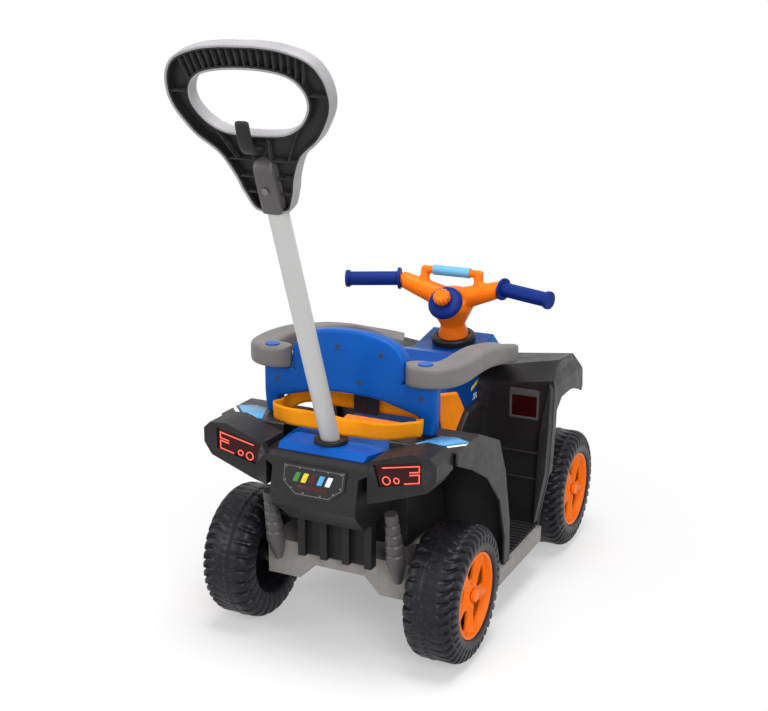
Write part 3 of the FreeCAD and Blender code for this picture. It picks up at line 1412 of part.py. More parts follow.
def make_front_axle():
    """Column with its drop arm, kingpins, steering knuckles and the link that joins them."""
    pin_top = LINK_BOTTOM + s.link_thickness
    low = -s.knuckle_half_height
    drop = COLUMN_OFFSET
    arm_end = s.arm_reach + s.arm_half_width

    foot = COLUMN_BOTTOM
    shaft_length = COLLAR_LEVEL - foot + s.column_insertion - s.seat_gap
    shaft = rod("column_shaft", s.column_radius, shaft_length, 0, drop, foot)
    drop_arm = block("drop_arm", (-s.arm_half_width, drop - arm_end, foot),
                     (s.arm_half_width, drop, foot + s.arm_thickness))
    pin_foot = LINK_BOTTOM - s.overrun
    drop_pin = rod("drop_pin", s.link_pin_radius, foot - pin_foot, 0, drop - s.arm_reach, pin_foot)
    column = fused("steering_column", [shaft, drop_arm, drop_pin])
    keep("steering_column", column, 0, s.wheel_base, s.wheel_radius, s.rake_angle)

    hub_face = s.track / 2 + s.hub_outer_reach + s.seat_gap - KINGPIN_X
    stub_end = hub_face + s.cap_depth - s.cap_cover
    spacer_end = s.spacer_length
    lug_top = s.knuckle_half_height + s.knuckle_gap + s.lug_thickness
    pins = []
    for side, sign in SIDES:
        barrel = rod(f"knuckle_barrel_{side}", s.knuckle_radius, s.knuckle_half_height * 2, 0, 0, low)
        stub = cross_rod(f"stub_{side}", s.axle_radius, *((0, stub_end) if sign > 0 else (-stub_end, 0)))
        spacer = cross_rod(f"stub_spacer_{side}", s.bush_radius,
                           *((0, spacer_end) if sign > 0 else (-spacer_end, 0)))
        arm = block(f"knuckle_arm_{side}", (-s.arm_half_width, -arm_end, low), (s.arm_half_width, 0, ARM_TOP))
        pin = rod(f"link_pin_{side}", s.link_pin_radius, pin_top - ARM_TOP + s.overrun, 0, -s.arm_reach,
                  ARM_TOP)
        bore = rod(f"knuckle_bore_{side}", s.kingpin_radius + s.running_gap,
                   (s.knuckle_half_height + s.overrun) * 2, 0, 0, low - s.overrun)
        blank = fused(f"knuckle_blank_{side}", [barrel, stub, spacer, arm, pin])
        knuckle = less(f"knuckle_{side}", blank, [bore])
        x = sign * KINGPIN_X
        keep(f"knuckle_{side}", knuckle, x, s.wheel_base, s.wheel_radius, s.rake_angle)
        cap = axle_cap(f"front_axle_cap_{side}", sign, hub_face)
        keep(f"front_axle_cap_{side}", cap, x, s.wheel_base, s.wheel_radius, s.rake_angle)
        shank = rod(f"kingpin_shank_{side}", s.kingpin_radius, lug_top * 2, x, 0, -lug_top)
        head = rod(f"kingpin_head_{side}", s.kingpin_head_radius, s.kingpin_head, x, 0, lug_top)
        pins.append(fused(f"kingpin_{side}", [shank, head]))
    keep("kingpins", grouped("kingpins", pins), 0, s.wheel_base, s.wheel_radius, s.rake_angle)

    link = new_body("tie_rod_bar")
    end = KINGPIN_X + s.link_half_width
    far, near = -s.arm_reach - s.link_half_width, s.link_half_width - s.arm_reach
    tab = drop - s.arm_reach - s.link_half_width
    plan = both_sides([(s.link_half_width, tab), (s.link_half_width, far), (end, far), (end, near)])
    slab(link, "XY", [plan], LINK_BOTTOM, pin_top)
    eyes = []
    for name, x, y in (("left", -KINGPIN_X, -s.arm_reach), ("middle", 0, drop - s.arm_reach),
                       ("right", KINGPIN_X, -s.arm_reach)):
        eyes.append(rod(f"link_eye_{name}", s.link_pin_radius + s.link_eye_gap,
                        s.link_thickness + s.overrun * 2, x, y, LINK_BOTTOM - s.overrun))
    keep("tie_rod", less("tie_rod", link, eyes), 0, s.wheel_base, s.wheel_radius, s.rake_angle)


def oval(name, half_width, half_height, centre, y_low, y_high):
    """Upright elliptical plate between two depths."""
    ellipse = document.addObject("Part::Ellipse", f"{name}_ellipse")
    bind(ellipse, "MajorRadius", half_width)
    bind(ellipse, "MinorRadius", half_height)
    place(ellipse, 0, y_high, centre, QUARTER_TURN)
    plate = document.addObject("Part::Extrusion", name)
    plate.Base = ellipse
    plate.DirMode = "Custom"
    plate.Dir = -ALONG_Y
    plate.Solid = True
    bind(plate, "LengthFwd", as_size(y_high) - y_low)
    return plate


NECK_OUTLINE_SHARES = ((1.28, 0.1), (1.5, 0.21), (1.73, 0.34), (2.3, 0.52), (3.3, 0.66), (3.85, 0.78),
                       (4.3, 0.92))
HANDLE_SCREW_SHARE = 0.75


def handle_plate(name, inset, base, y_low, y_high):
    """Loop and neck of the push handle, drawn in by an inset, between two depths."""
    neck = new_body(f"{name}_neck")
    half = s.handle_neck_half
    outline = [(half - inset, base)]
    outline += [(u * half - inset, v * s.grip_loop_centre) for u, v in NECK_OUTLINE_SHARES]
    slab(neck, "XZ", [both_sides(outline)], y_low, y_high)
    loop = oval(f"{name}_loop", s.grip_loop_half_width - inset, s.grip_loop_half_height - inset,
                s.grip_loop_centre, y_low, y_high)
    hole = oval(f"{name}_hole", s.grip_hole_half_width + inset, s.grip_hole_half_height + inset,
                s.grip_loop_centre + s.grip_hole_rise, y_low - s.overrun, y_high + s.overrun)
    return less(name, fused(f"{name}_blank", [neck, loop]), [hole])


def make_push_handle():
    """Parent handle: tube, two-shell grip loop, bag hook and screw, in axes that lean with the pole."""
    top = s.handle_start + s.handle_sleeve
    tube = rod("pole_tube", s.pole_radius, top + s.pole_insertion, z=-s.pole_insertion)
    hollow = rod("pole_hollow", s.pole_radius - s.pole_wall, top + s.pole_insertion + s.overrun * 2,
                 z=-s.pole_insertion - s.overrun)

    def keep_on_pole(label, item, height=0):
        dy, dz = leaning(s.pole_lean, as_size(0), as_size(height))
        keep(label, item, 0, s.pole_station + dy, DECK_TOP + dz, s.pole_lean)

    keep_on_pole("push_pole", less("push_pole", tube, [hollow]))
    cell_base = s.handle_sleeve + s.shell_wall * 2
    shells = (("handle_back_shell", -s.handle_back_depth, 0), ("handle_front_shell", 0, s.handle_front_depth))
    for label, low, high in shells:
        wall = s.shell_wall
        cell_low = as_size(low) + (wall if as_size(low).value < 0 else -s.overrun)
        cell_high = as_size(high) - (wall if as_size(high).value > 0 else -s.overrun)
        plate = handle_plate(f"{label}_plate", as_size(0), 0, low, high)
        cells = handle_plate(f"{label}_cells", wall, cell_base, cell_low, cell_high)
        bore = rod(f"{label}_bore", s.pole_radius + s.running_gap, s.handle_sleeve + s.seat_gap + s.overrun,
                   z=-s.overrun)
        depth = s.handle_block_depth
        ends = (-depth, 0) if as_size(low).value < 0 else (0, depth)
        half = s.pole_radius + s.shell_wall
        boss = block(f"{label}_boss", (-half, ends[0], 0), (half, ends[1], s.handle_sleeve + wall))
        whole = fused(f"{label}_whole", [less(f"{label}_shell", plate, [cells]), boss])
        keep_on_pole(label, less(label, whole, [bore]), s.handle_start)

    hook = new_body("bag_hook")
    face = -s.handle_back_depth - s.running_gap
    low = s.hook_level
    tip = face - s.hook_reach
    slab(hook, "YZ", [[(face, low), (face, low + s.hook_thickness),
                       (tip + s.hook_thickness, low + s.hook_thickness),
                       (tip + s.hook_thickness, low + s.hook_rise), (tip, low + s.hook_rise), (tip, low)]],
         -s.hook_half_width, s.hook_half_width)
    keep_on_pole("bag_hook", hook, s.handle_start)
    boss_face = -s.handle_block_depth - s.running_gap
    head = rod("handle_screw_head", s.screw_radius, s.screw_head, 0, boss_face, 0, QUARTER_TURN)
    keep_on_pole("handle_screw", grouped("handle_screw", [head]),
                 s.handle_start + HANDLE_SCREW_SHARE * s.handle_sleeve)


make_wheels()
make_rear_axle()
make_chassis()
make_foot_mats()
make_cowl()
make_seat()
make_tank()
make_nose()
make_rear_fairing()
make_grille()
make_dampers()
make_rear_fenders()
make_front_fenders()
make_deck()
make_backrest()
make_armrests()
make_belt()
make_steering()
make_front_axle()
make_push_handle()
document.recompute()

for item in document.Objects:
    if "Invalid" in item.State or "Error" in item.State:
        raise RuntimeError(f"{item.Label} did not build")
os.makedirs("parts", exist_ok=True)
for label, item in finished.items():
    if item.Shape.isNull() or not item.Shape.isValid():
        raise RuntimeError(f"{label} has no valid shape")
for label, item in finished.items():
    item.Shape.exportStep(f"parts/{label}.step")
print(f"{len(finished)} sub-parts")
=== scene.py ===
"""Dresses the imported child's quad bike and stands it in a plain studio.

Sizes are in millimetres in the part's own frame, Z up and +Y the way it is ridden, and become metres where
a mesh is made.
"""

import logging
import math
from dataclasses import dataclass
from enum import Enum
from typing import Any, Iterable, Sequence

import bmesh
import bpy
from mathutils import Matrix, Vector


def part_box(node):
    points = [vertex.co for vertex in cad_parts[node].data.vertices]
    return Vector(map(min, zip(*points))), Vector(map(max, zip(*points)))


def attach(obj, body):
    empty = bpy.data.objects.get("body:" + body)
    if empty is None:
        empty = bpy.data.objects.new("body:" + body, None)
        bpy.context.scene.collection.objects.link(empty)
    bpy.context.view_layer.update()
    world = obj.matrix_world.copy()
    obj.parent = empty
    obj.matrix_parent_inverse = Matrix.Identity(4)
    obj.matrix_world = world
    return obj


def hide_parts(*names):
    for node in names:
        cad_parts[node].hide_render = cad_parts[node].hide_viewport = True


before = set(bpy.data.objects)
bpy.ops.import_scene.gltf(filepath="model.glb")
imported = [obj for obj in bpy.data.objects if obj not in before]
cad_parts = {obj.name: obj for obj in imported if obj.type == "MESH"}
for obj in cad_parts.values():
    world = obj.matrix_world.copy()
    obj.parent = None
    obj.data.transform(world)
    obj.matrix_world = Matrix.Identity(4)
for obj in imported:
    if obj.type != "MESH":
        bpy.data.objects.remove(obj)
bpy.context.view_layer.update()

MM = 0.001
REAR_AXLE_BACK = 152.0
LOG = logging.getLogger("quad_bike")
Flat = tuple[float, float]
Outline = tuple[Flat, ...]
Point = tuple[float, float, float]
Colour = tuple[float, float, float, float]
Mesh = bpy.types.Mesh
Tree = bpy.types.NodeTree
Socket = bpy.types.NodeSocket


class Side(Enum):
    """The two sides of the bike, as the sign of X."""

    LEFT = -1
    RIGHT = 1


class Plane(Enum):
    """How the flat axes and the depth of a plate lie in its own frame."""

    WHEEL = ((0, 1, 0), (0, 0, 1), (1, 0, 0))
    UPRIGHT = ((1, 0, 0), (0, 0, 1), (0, -1, 0))
    LEVEL = ((1, 0, 0), (0, 1, 0), (0, 0, 1))

    def matrix(self) -> Matrix:
        """The turn from flat axes and depth to the frame's own axes."""
        return Matrix(self.value).transposed().to_4x4()


def linear(code: str, gain: float = 1.0) -> Colour:
    """Turns an sRGB hex value to linear light.

    Args:
        code: the colour, such as "#1766af".
        gain: what its light is multiplied by.

    Returns:
        Red, green, blue and alpha.
    """
    parts = [int(code[i:i + 2], 16) / 255 for i in (1, 3, 5)]
    light = [p / 12.92 if p <= 0.04045 else ((p + 0.055) / 1.055) ** 2.4 for p in parts]
    return (*(min(1.0, gain * p) for p in light), 1.0)


def add_node(tree: Tree, kind: str, settings: dict[Any, Any] | None = None,
             links: dict[Any, Socket] | None = None) -> bpy.types.Node:
    """Adds a shader node.

    Args:
        tree: the material's nodes.
        kind: the node's type.
        settings: values of its sockets, by name or number, and of its own options.
        links: the sockets that feed its inputs.

    Returns:
        The node.
    """
    node = tree.nodes.new(kind)
    for name, value in (settings or {}).items():
        if isinstance(name, int) or name in node.inputs:
            node.inputs[name].default_value = value
        else:
            setattr(node, name, value)
    for name, socket in (links or {}).items():
        tree.links.new(socket, node.inputs[name])
    return node


def smoothstep(low: float, high: float, value: float) -> float:
    """A soft ramp from 0 at low to 1 at high."""
    t = min(max((value - low) / (high - low), 0.0), 1.0)
    return t * t * (3 - 2 * t)


def between(edges: Sequence[float], value: float) -> float:
    """A soft window that is 0 outside its four edges and 1 between the middle two."""
    a, b, c, d = edges
    return smoothstep(a, b, value) * (1 - smoothstep(c, d, value))


def signed_power(value: float, power: float) -> float:
    """A power that keeps the sign, so that a circle's points fill out towards a square."""
    return math.copysign(abs(value) ** power, value)


def circle(x: float, y: float, radius: float, count: int) -> list[Flat]:
    """Points round a circle, from its right side up and over."""
    turns = [2 * math.pi * k / count for k in range(count)]
    return [(x + radius * math.cos(t), y + radius * math.sin(t)) for t in turns]


def direction(line: Sequence[Sequence[float]], i: int) -> Vector:
    """Which way an open line runs at one of its points."""
    return (Vector(line[min(i + 1, len(line) - 1)]) - Vector(line[max(i - 1, 0)])).normalized()


def sided(side: Side, loop: Iterable[Flat]) -> list[Flat]:
    """An outline of the right side, laid on either side of the bike."""
    return [(side.value * x, y) for x, y in loop]


def strip(a: Flat, b: Flat, width: float, reach: float = 0.0) -> list[Flat]:
    """The outline of a straight line that has a width.

    Args:
        a: its start.
        b: its end.
        width: how wide it is.
        reach: how far it runs on past both ends.

    Returns:
        Its four corners.
    """
    start, end = Vector(a), Vector(b)
    run = (end - start).normalized()
    off = Vector((-run.y, run.x)) * width / 2
    run *= reach
    return [tuple(p) for p in (start - run + off, end + run + off, end + run - off, start - run - off)]


def leaning(at: Point, lean_deg: float) -> Matrix:
    """A frame at a point, tipped about X."""
    return Matrix.Translation(Vector(at) * MM) @ Matrix.Rotation(math.radians(lean_deg), 4, "X")


def linked(name: str, data: bpy.types.ID) -> bpy.types.Object:
    """A new object in the scene."""
    obj = bpy.data.objects.new(name, data)
    bpy.context.scene.collection.objects.link(obj)
    return obj


def curve_through(points: Sequence[Flat], steps: int, closed: bool = False) -> list[Flat]:
    """Points on a smooth line through the given ones.

    Args:
        points: the points to pass through.
        steps: how many parts each span is cut into.
        closed: whether the line comes back to its start.

    Returns:
        The points of the line.
    """
    count = len(points)
    spans = count if closed else count - 1
    line = []
    for i in range(spans):
        a, b, c, d = (points[k % count] if closed else points[min(max(k, 0), count - 1)]
                      for k in (i - 1, i, i + 1, i + 2))
        for k in range(steps):
            t = k / steps
            line.append(tuple(
                0.5 * (2 * b[j] + (c[j] - a[j]) * t + (2 * a[j] - 5 * b[j] + 4 * c[j] - d[j]) * t ** 2
                       + (3 * b[j] - a[j] - 3 * c[j] + d[j]) * t ** 3) for j in (0, 1)))
    return line if closed else [*line, tuple(points[-1])]


def mirrored(half: Sequence[Flat]) -> list[Flat]:
    """A closed outline from its right half, whose end points lie on the middle line or mirror across it."""
    return [*half, *((-x, y) for x, y in reversed(half) if abs(x) > 1e-6)]


def soft_corners(points: Sequence[Flat], radius: float, steps: int = 5) -> list[Flat]:
    """A polygon with its corners rounded.

    Args:
        points: its corners in order.
        radius: how far from each corner the rounding starts.
        steps: the points of each rounding.

    Returns:
        The points of the outline.
    """
    line = []
    for i, corner in enumerate(points):
        at = Vector(corner)
        before, after = Vector(points[i - 1]) - at, Vector(points[(i + 1) % len(points)]) - at
        start = at + before.normalized() * min(radius, before.length * 0.45)
        end = at + after.normalized() * min(radius, after.length * 0.45)
        for k in range(steps + 1):
            t = k / steps
            p = start * (1 - t) ** 2 + at * 2 * t * (1 - t) + end * t ** 2
            line.append((p.x, p.y))
    return line


def inset(loop: Sequence[Flat], depth: float, uncross: bool = False) -> list[Flat]:
    """A closed outline moved inwards, or outwards where depth is below 0.

    Args:
        loop: the outline, in either turning sense.
        depth: how far it moves.
        uncross: whether points that cross over at tight corners are left out.

    Returns:
        The moved outline.
    """
    count = len(loop)
    area = sum(loop[i - 1][0] * loop[i][1] - loop[i][0] * loop[i - 1][1] for i in range(count))
    turn = 1 if area > 0 else -1
    moved = []
    for i in range(count):
        run = Vector(loop[(i + 1) % count]) - Vector(loop[i - 1])
        run.normalize()
        moved.append((loop[i][0] - turn * run.y * depth, loop[i][1] + turn * run.x * depth))
    if not uncross:
        return moved
    return [p for p in moved if min(math.dist(p, q) for q in loop) > 0.97 * abs(depth)]


def outward(mesh: Mesh, weld: float = 0.0) -> None:
    """Turns a mesh's faces outwards and shades it smooth.

    Args:
        mesh: the mesh, in metres.
        weld: how near points are made one, in millimetres.
    """
    shape = bmesh.new()
    shape.from_mesh(mesh)
    if weld:
        bmesh.ops.remove_doubles(shape, verts=shape.verts, dist=weld * MM)
    bmesh.ops.recalc_face_normals(shape, faces=shape.faces)
    shape.to_mesh(mesh)
    shape.free()
    mesh.shade_smooth()


def mesh_from(name: str, points: Iterable[Point], faces: Iterable[Sequence[int]]) -> Mesh:
    """A smooth-shaded mesh with its faces turned outwards.

    Args:
        name: the mesh's name.
        points: its points in millimetres.
        faces: the points of each face.

    Returns:
        The mesh, in metres.
    """
    mesh = bpy.data.meshes.new(name)
    mesh.from_pydata([Vector(p) * MM for p in points], [], [tuple(f) for f in faces])
    outward(mesh)
    return mesh


def plate(name: str, loops: Sequence[Sequence[Flat]], low: float, high: float, rounding: float,
          plane: Plane = Plane.UPRIGHT) -> Mesh:
    """A plate cut to outlines, with rounded edges.

    Args:
        name: the mesh's name.
        loops: the outer outline and its holes.
        low: where the plate starts along its depth.
        high: where it ends.
        rounding: the radius of its edges.
        plane: how it lies.

    Returns:
        The mesh, in metres.
    """
    shape = bpy.data.curves.new(name, "CURVE")
    shape.dimensions, shape.fill_mode = "2D", "BOTH"
    shape.extrude = ((high - low) / 2 - rounding) * MM
    shape.bevel_depth, shape.offset, shape.bevel_resolution = rounding * MM, -rounding * MM, 2
    for loop in loops:
        line = shape.splines.new("POLY")
        line.points.add(len(loop) - 1)
        for point, (u, v) in zip(line.points, loop):
            point.co = (u * MM, v * MM, 0, 1)
        line.use_cyclic_u = True
    holder = linked(name, shape)
    bpy.context.view_layer.update()
    mesh = bpy.data.meshes.new_from_object(holder.evaluated_get(bpy.context.evaluated_depsgraph_get()))
    bpy.data.objects.remove(holder)
    bpy.data.curves.remove(shape)
    mesh.transform(plane.matrix() @ Matrix.Translation((0, 0, (low + high) / 2 * MM)))
    outward(mesh, 0.02)
    mesh.set_sharp_from_angle(angle=math.radians(32))
    return mesh


def revolved(name: str, sections: Sequence[Sequence[Flat]]) -> Mesh:
    """A ring about the X axis whose closed section may change round the turn.

    Args:
        name: the mesh's name.
        sections: for each angle in turn, the (x, radius) points of the section.

    Returns:
        The mesh, in metres.
    """
    count, size = len(sections), len(sections[0])
    points = []
    for i, section in enumerate(sections):
        turn = 2 * math.pi * i / count
        points += [(x, r * math.sin(turn), r * math.cos(turn)) for x, r in section]
    faces = [(i * size + j, i * size + (j + 1) % size, (i + 1) % count * size + (j + 1) % size,
              (i + 1) % count * size + j) for i in range(count) for j in range(size)]
    return mesh_from(name, points, faces)


def swept(name: str, rings: Sequence[Sequence[Point]]) -> Mesh:
    """A closed solid through rings of equal counts, capped at both ends.

    Args:
        name: the mesh's name.
        rings: the points of each ring in turn.

    Returns:
        The mesh, in metres.
    """
    size = len(rings[0])
    faces = [(i * size + j, i * size + (j + 1) % size, (i + 1) * size + (j + 1) % size, (i + 1) * size + j)
             for i in range(len(rings) - 1) for j in range(size)]
    last = (len(rings) - 1) * size
    faces += [tuple(range(size)), tuple(range(last, last + size))]
    mesh = mesh_from(name, [p for ring in rings for p in ring], faces)
    mesh.set_sharp_from_angle(angle=math.radians(50))
    return mesh


def joined(name: str, meshes: Sequence[Mesh], kinds: Sequence[int] | None = None) -> Mesh:
    """Several meshes as one.

    Args:
        name: the mesh's name.
        meshes: the parts, which are used up.
        kinds: the material number of each part.

    Returns:
        The mesh.
    """
    shape = bmesh.new()
    for number, part in enumerate(meshes):
        first = len(shape.faces)
        shape.from_mesh(part)
        shape.faces.ensure_lookup_table()
        for face in shape.faces[first:]:
            face.material_index = kinds[number] if kinds else 0
    mesh = bpy.data.meshes.new(name)
    shape.to_mesh(mesh)
    shape.free()
    for part in meshes:
        bpy.data.meshes.remove(part)
    return mesh


@dataclass(frozen=True)
class Moulding:
    """Moulded plastic: clouded pigment, spark-eroded grain, and pale edges that are partly wear from use and
    partly a painted highlight.
    """

    name: str
    colour: str
    wear_and_highlight_colour: str
    roughness: float
    ior: float = 1.49
    grain_mm: float = 1.3
    grain_depth_mm: float = 0.05
    cloud_mm: float = 46.0
    drift: float = 0.1
    wear_and_highlight_share: float = 0.55
    edge_mm: float = 0.7
    coat: float = 0.0
    sheen_level: float = 0.35

    def material(self) -> bpy.types.Material:
        """The finish as a material, made once."""
        made = bpy.data.materials.get(self.name)
        if made is None:
            made = bpy.data.materials.new(self.name)
            made.use_nodes = True
            made.node_tree.nodes.clear()
            self.wire(made.node_tree)
        return made

    def noise(self, tree: Tree, size_mm: float, low: float, high: float, detail: float = 3.0,
              stretch: Point = (1, 1, 1)) -> Socket:
        """A soft pattern of blotches.

        Args:
            tree: the material's nodes.
            size_mm: the width of a blotch.
            low: the value in its hollows.
            high: the value on its crests.
            detail: how many finer layers it has.
            stretch: how much finer it is along each axis.

        Returns:
            The socket that gives the value.
        """
        at = add_node(tree, "ShaderNodeTexCoord").outputs["Object"]
        at = add_node(tree, "ShaderNodeMapping", {"Scale": stretch}, {"Vector": at}).outputs["Vector"]
        blotch = add_node(tree, "ShaderNodeTexNoise", {"Scale": 1 / (size_mm * MM), "Detail": detail},
                          {"Vector": at})
        return add_node(tree, "ShaderNodeMapRange",
                        {"From Min": 0.3, "From Max": 0.7, "To Min": low, "To Max": high},
                        {"Value": blotch.outputs["Fac"]}).outputs["Result"]

    def mix(self, tree: Tree, share: Socket, base: Any, over: Any) -> Socket:
        """One colour laid over another.

        Args:
            tree: the material's nodes.
            share: the socket that says how much of the upper colour shows.
            base: the lower colour, or a socket that gives it.
            over: the upper colour, or a socket that gives it.

        Returns:
            The socket that gives the colour.
        """
        values, links = {"data_type": "RGBA"}, {0: share}
        for number, given in ((6, base), (7, over)):
            (links if isinstance(given, Socket) else values)[number] = given
        return add_node(tree, "ShaderNodeMix", values, links).outputs[2]

    def edges(self, tree: Tree) -> Socket:
        """The share of pale edge colour, on outer edges and in patches: partly wear, partly a painted
        highlight.
        """
        point = add_node(tree, "ShaderNodeNewGeometry").outputs["Pointiness"]
        # Convex edges get the pale colour: partly rubbed wear, partly a painted highlight.
        edge = add_node(tree, "ShaderNodeMapRange", {"From Min": 0.53, "From Max": 0.64, "To Max": self.wear_and_highlight_share},
                        {"Value": point}).outputs["Result"]
        patch = self.noise(tree, 9.0, 0.2, 1.0)
        return add_node(tree, "ShaderNodeMath", {"operation": "MULTIPLY", "use_clamp": True},
                        {0: edge, 1: patch}).outputs["Value"]

    def tint(self, tree: Tree) -> Socket:
        """The colour all over, as a socket."""
        cloud = self.noise(tree, self.cloud_mm, 0.0, 1.0)
        dim, bright = (linear(self.colour, 1 + change) for change in (-self.drift, self.drift))
        ground = self.mix(tree, cloud, dim, bright)
        return self.mix(tree, self.edges(tree), ground, linear(self.wear_and_highlight_colour))

    def relief(self, tree: Tree) -> Socket:
        """The fine surface as a normal, over edges that are drawn soft."""
        soft = add_node(tree, "ShaderNodeBevel", {"samples": 4, "Radius": self.edge_mm * MM})
        grain = self.noise(tree, self.grain_mm, 0.0, 1.0, 2.0)
        return add_node(tree, "ShaderNodeBump", {"Strength": 0.6, "Distance": self.grain_depth_mm * MM},
                        {"Height": grain, "Normal": soft.outputs["Normal"]}).outputs["Normal"]

    def gloss(self, tree: Tree) -> Socket:
        """The roughness all over, as a socket."""
        return self.noise(tree, 24.0, self.roughness - 0.05, self.roughness + 0.07)

    def values(self) -> dict[str, float]:
        """The shader's values that are the same all over."""
        return {"IOR": self.ior, "Specular IOR Level": self.sheen_level, "Coat Weight": self.coat,
                "Coat Roughness": 0.15}

    def wire(self, tree: Tree) -> None:
        """Lays out the shader.

        Args:
            tree: the material's empty node tree.
        """
        gloss = self.gloss(tree)
        shader = add_node(tree, "ShaderNodeBsdfPrincipled", self.values(),
                          {"Base Color": self.tint(tree), "Roughness": gloss, "Normal": self.relief(tree)})
        add_node(tree, "ShaderNodeOutputMaterial", {}, {"Surface": shader.outputs["BSDF"]})


@dataclass(frozen=True)
class ScuffedMoulding(Moulding):
    """Blow-moulded plastic that has run over the ground, with pale scuffs round the tread."""

    scuff: str = "#5c5660"
    scuff_mm: float = 5.0

    def tint(self, tree: Tree) -> Socket:
        """The colour all over, with scuffs along the running direction."""
        scuffs = self.noise(tree, self.scuff_mm, -1.5, 0.4, 6.0, (2.5, 0.7, 0.7))
        return self.mix(tree, scuffs, Moulding.tint(self, tree), linear(self.scuff))


@dataclass(frozen=True)
class CoatedSteel(Moulding):
    """Powder-coated or plated steel tube, with the coat's own slight ripple."""

    metallic: float = 0.0

    def gloss(self, tree: Tree) -> Socket:
        """The roughness all over, drawn out along the tube."""
        return self.noise(tree, 14.0, self.roughness - 0.05, self.roughness + 0.08, 4.0, (1, 1, 0.15))

    def values(self) -> dict[str, float]:
        """The shader's values that are the same all over."""
        return {"Metallic": self.metallic, "Coat Weight": self.coat}


@dataclass(frozen=True)
class PaintedGlowLine(Moulding):
    """Printed line under a lens, given a painted glow: it gives off light of its own though it is no lamp."""

    glow: str = "#ff6a55"
    strength: float = 0.8

    def wire(self, tree: Tree) -> None:
        """Lays out the shader.

        Args:
            tree: the material's empty node tree.
        """
        # The emission is a painted glow on a printed line, not a lamp.
        shader = add_node(tree, "ShaderNodeBsdfPrincipled",
                          {"IOR": self.ior, "Roughness": self.roughness, "Emission Color": linear(self.glow),
                           "Emission Strength": self.strength}, {"Base Color": self.tint(tree)})
        add_node(tree, "ShaderNodeOutputMaterial", {}, {"Surface": shader.outputs["BSDF"]})


@dataclass(frozen=True)
class Webbing(Moulding):
    """Woven nylon tape: ribs across, threads along, and a slack surface that takes light softly."""

    thread_mm: float = 1.5

    def bands(self, tree: Tree, axis: str, period_mm: float) -> Socket:
        """Even bands across the tape's flat map, which is in millimetres.

        Args:
            tree: the material's nodes.
            axis: the map's axis, X along and Y across.
            period_mm: from one band to the next.

        Returns:
            The socket that gives the band's height.
        """
        at = add_node(tree, "ShaderNodeUVMap", {"uv_map": "tape"}).outputs["UV"]
        return add_node(tree, "ShaderNodeTexWave",
                        {"bands_direction": axis, "Scale": math.pi / 10 / period_mm},
                        {"Vector": at}).outputs["Fac"]

    def tint(self, tree: Tree) -> Socket:
        """The colour of the tape, with painted shade between its ribs and a painted highlight on their
        crests.
        """
        ribs = self.bands(tree, "X", self.thread_mm)
        # Darker between the ribs is painted shade, lighter on their crests a painted highlight.
        ground = self.mix(tree, ribs, linear(self.colour, 0.72), linear(self.colour, 1.08))
        return self.mix(tree, self.noise(tree, self.cloud_mm, 0.0, 0.3), ground, linear(self.wear_and_highlight_colour))

    def relief(self, tree: Tree) -> Socket:
        """The weave as a normal."""
        ribs, threads = self.bands(tree, "X", self.thread_mm), self.bands(tree, "Y", self.thread_mm * 1.6)
        weave = add_node(tree, "ShaderNodeMath", {"operation": "MULTIPLY"}, {0: ribs, 1: threads})
        return add_node(tree, "ShaderNodeBump", {"Strength": 0.7, "Distance": 0.4 * MM},
                        {"Height": weave.outputs["Value"]}).outputs["Normal"]


# Injection-moulded polypropylene: even deep colour, half gloss, pale along edges as partly rubbed wear and
# partly painted highlight.
# Its grain is about 0.3 mm and would not show, so it is drawn at about 1.3 mm in all these mouldings.
BLUE_PP = Moulding("polypropylene_blue", "#014b9c", "#2f7cc4", 0.36, sheen_level=0.14)
TANK_PP = Moulding("polypropylene_deep_blue", "#03408c", "#2f6cb4", 0.36, sheen_level=0.14)
ORANGE_PP = Moulding("polypropylene_orange", "#ec6e08", "#f9a04c", 0.38, sheen_level=0.16)
# A lighter copy of the orange for the side panels: painted light where they face the lamps.
LIT_ORANGE_PP = Moulding("polypropylene_light_orange", "#fb8a14", "#fbae58", 0.38, sheen_level=0.16)
# The same moulded with a satin texture, so its highlights are wide and dim.
BLACK_PP = Moulding("polypropylene_black", "#1d1b1d", "#5d595d", 0.42, grain_mm=1.6, grain_depth_mm=0.08,
                    sheen_level=0.24)
DARK_PP = Moulding("polypropylene_black_ribbed", "#151416", "#4d4a4d", 0.48, grain_mm=1.6,
                   grain_depth_mm=0.08, sheen_level=0.22)
# Charcoal for the dampers and knee frames; on the handle's back cover it is a lighter copy of the black
# moulding, painted light where the cover faces the light.
CHARCOAL_AND_LIT_BLACK_PP = Moulding("polypropylene_charcoal", "#4a4748", "#8a8788", 0.4, grain_mm=1.6, grain_depth_mm=0.06)
GREY_PP = Moulding("polypropylene_grey", "#6a6665", "#9d9997", 0.46, grain_mm=1.6, grain_depth_mm=0.07,
                   sheen_level=0.25)
# A lighter, warmer copy of the grey for the chassis frame: painted light standing in for light thrown up from
# the floor.
LIT_GREY_PP = Moulding("polypropylene_warm_grey", "#7f7a77", "#a39f9c", 0.5, grain_mm=1.6, grain_depth_mm=0.07,
                    sheen_level=0.2)
PALE_PP = Moulding("polypropylene_pale_grey", "#918f92", "#b4b2b4", 0.4, sheen_level=0.2)
# Blow-moulded polyethylene: waxy, black, soft edges, marked by the ground.
WHEEL_PE = ScuffedMoulding("polyethylene_wheel_black", "#17161c", "#4a464e", 0.38, ior=1.51, grain_mm=2.2,
                           grain_depth_mm=0.1, cloud_mm=30.0, drift=0.2, sheen_level=0.2)
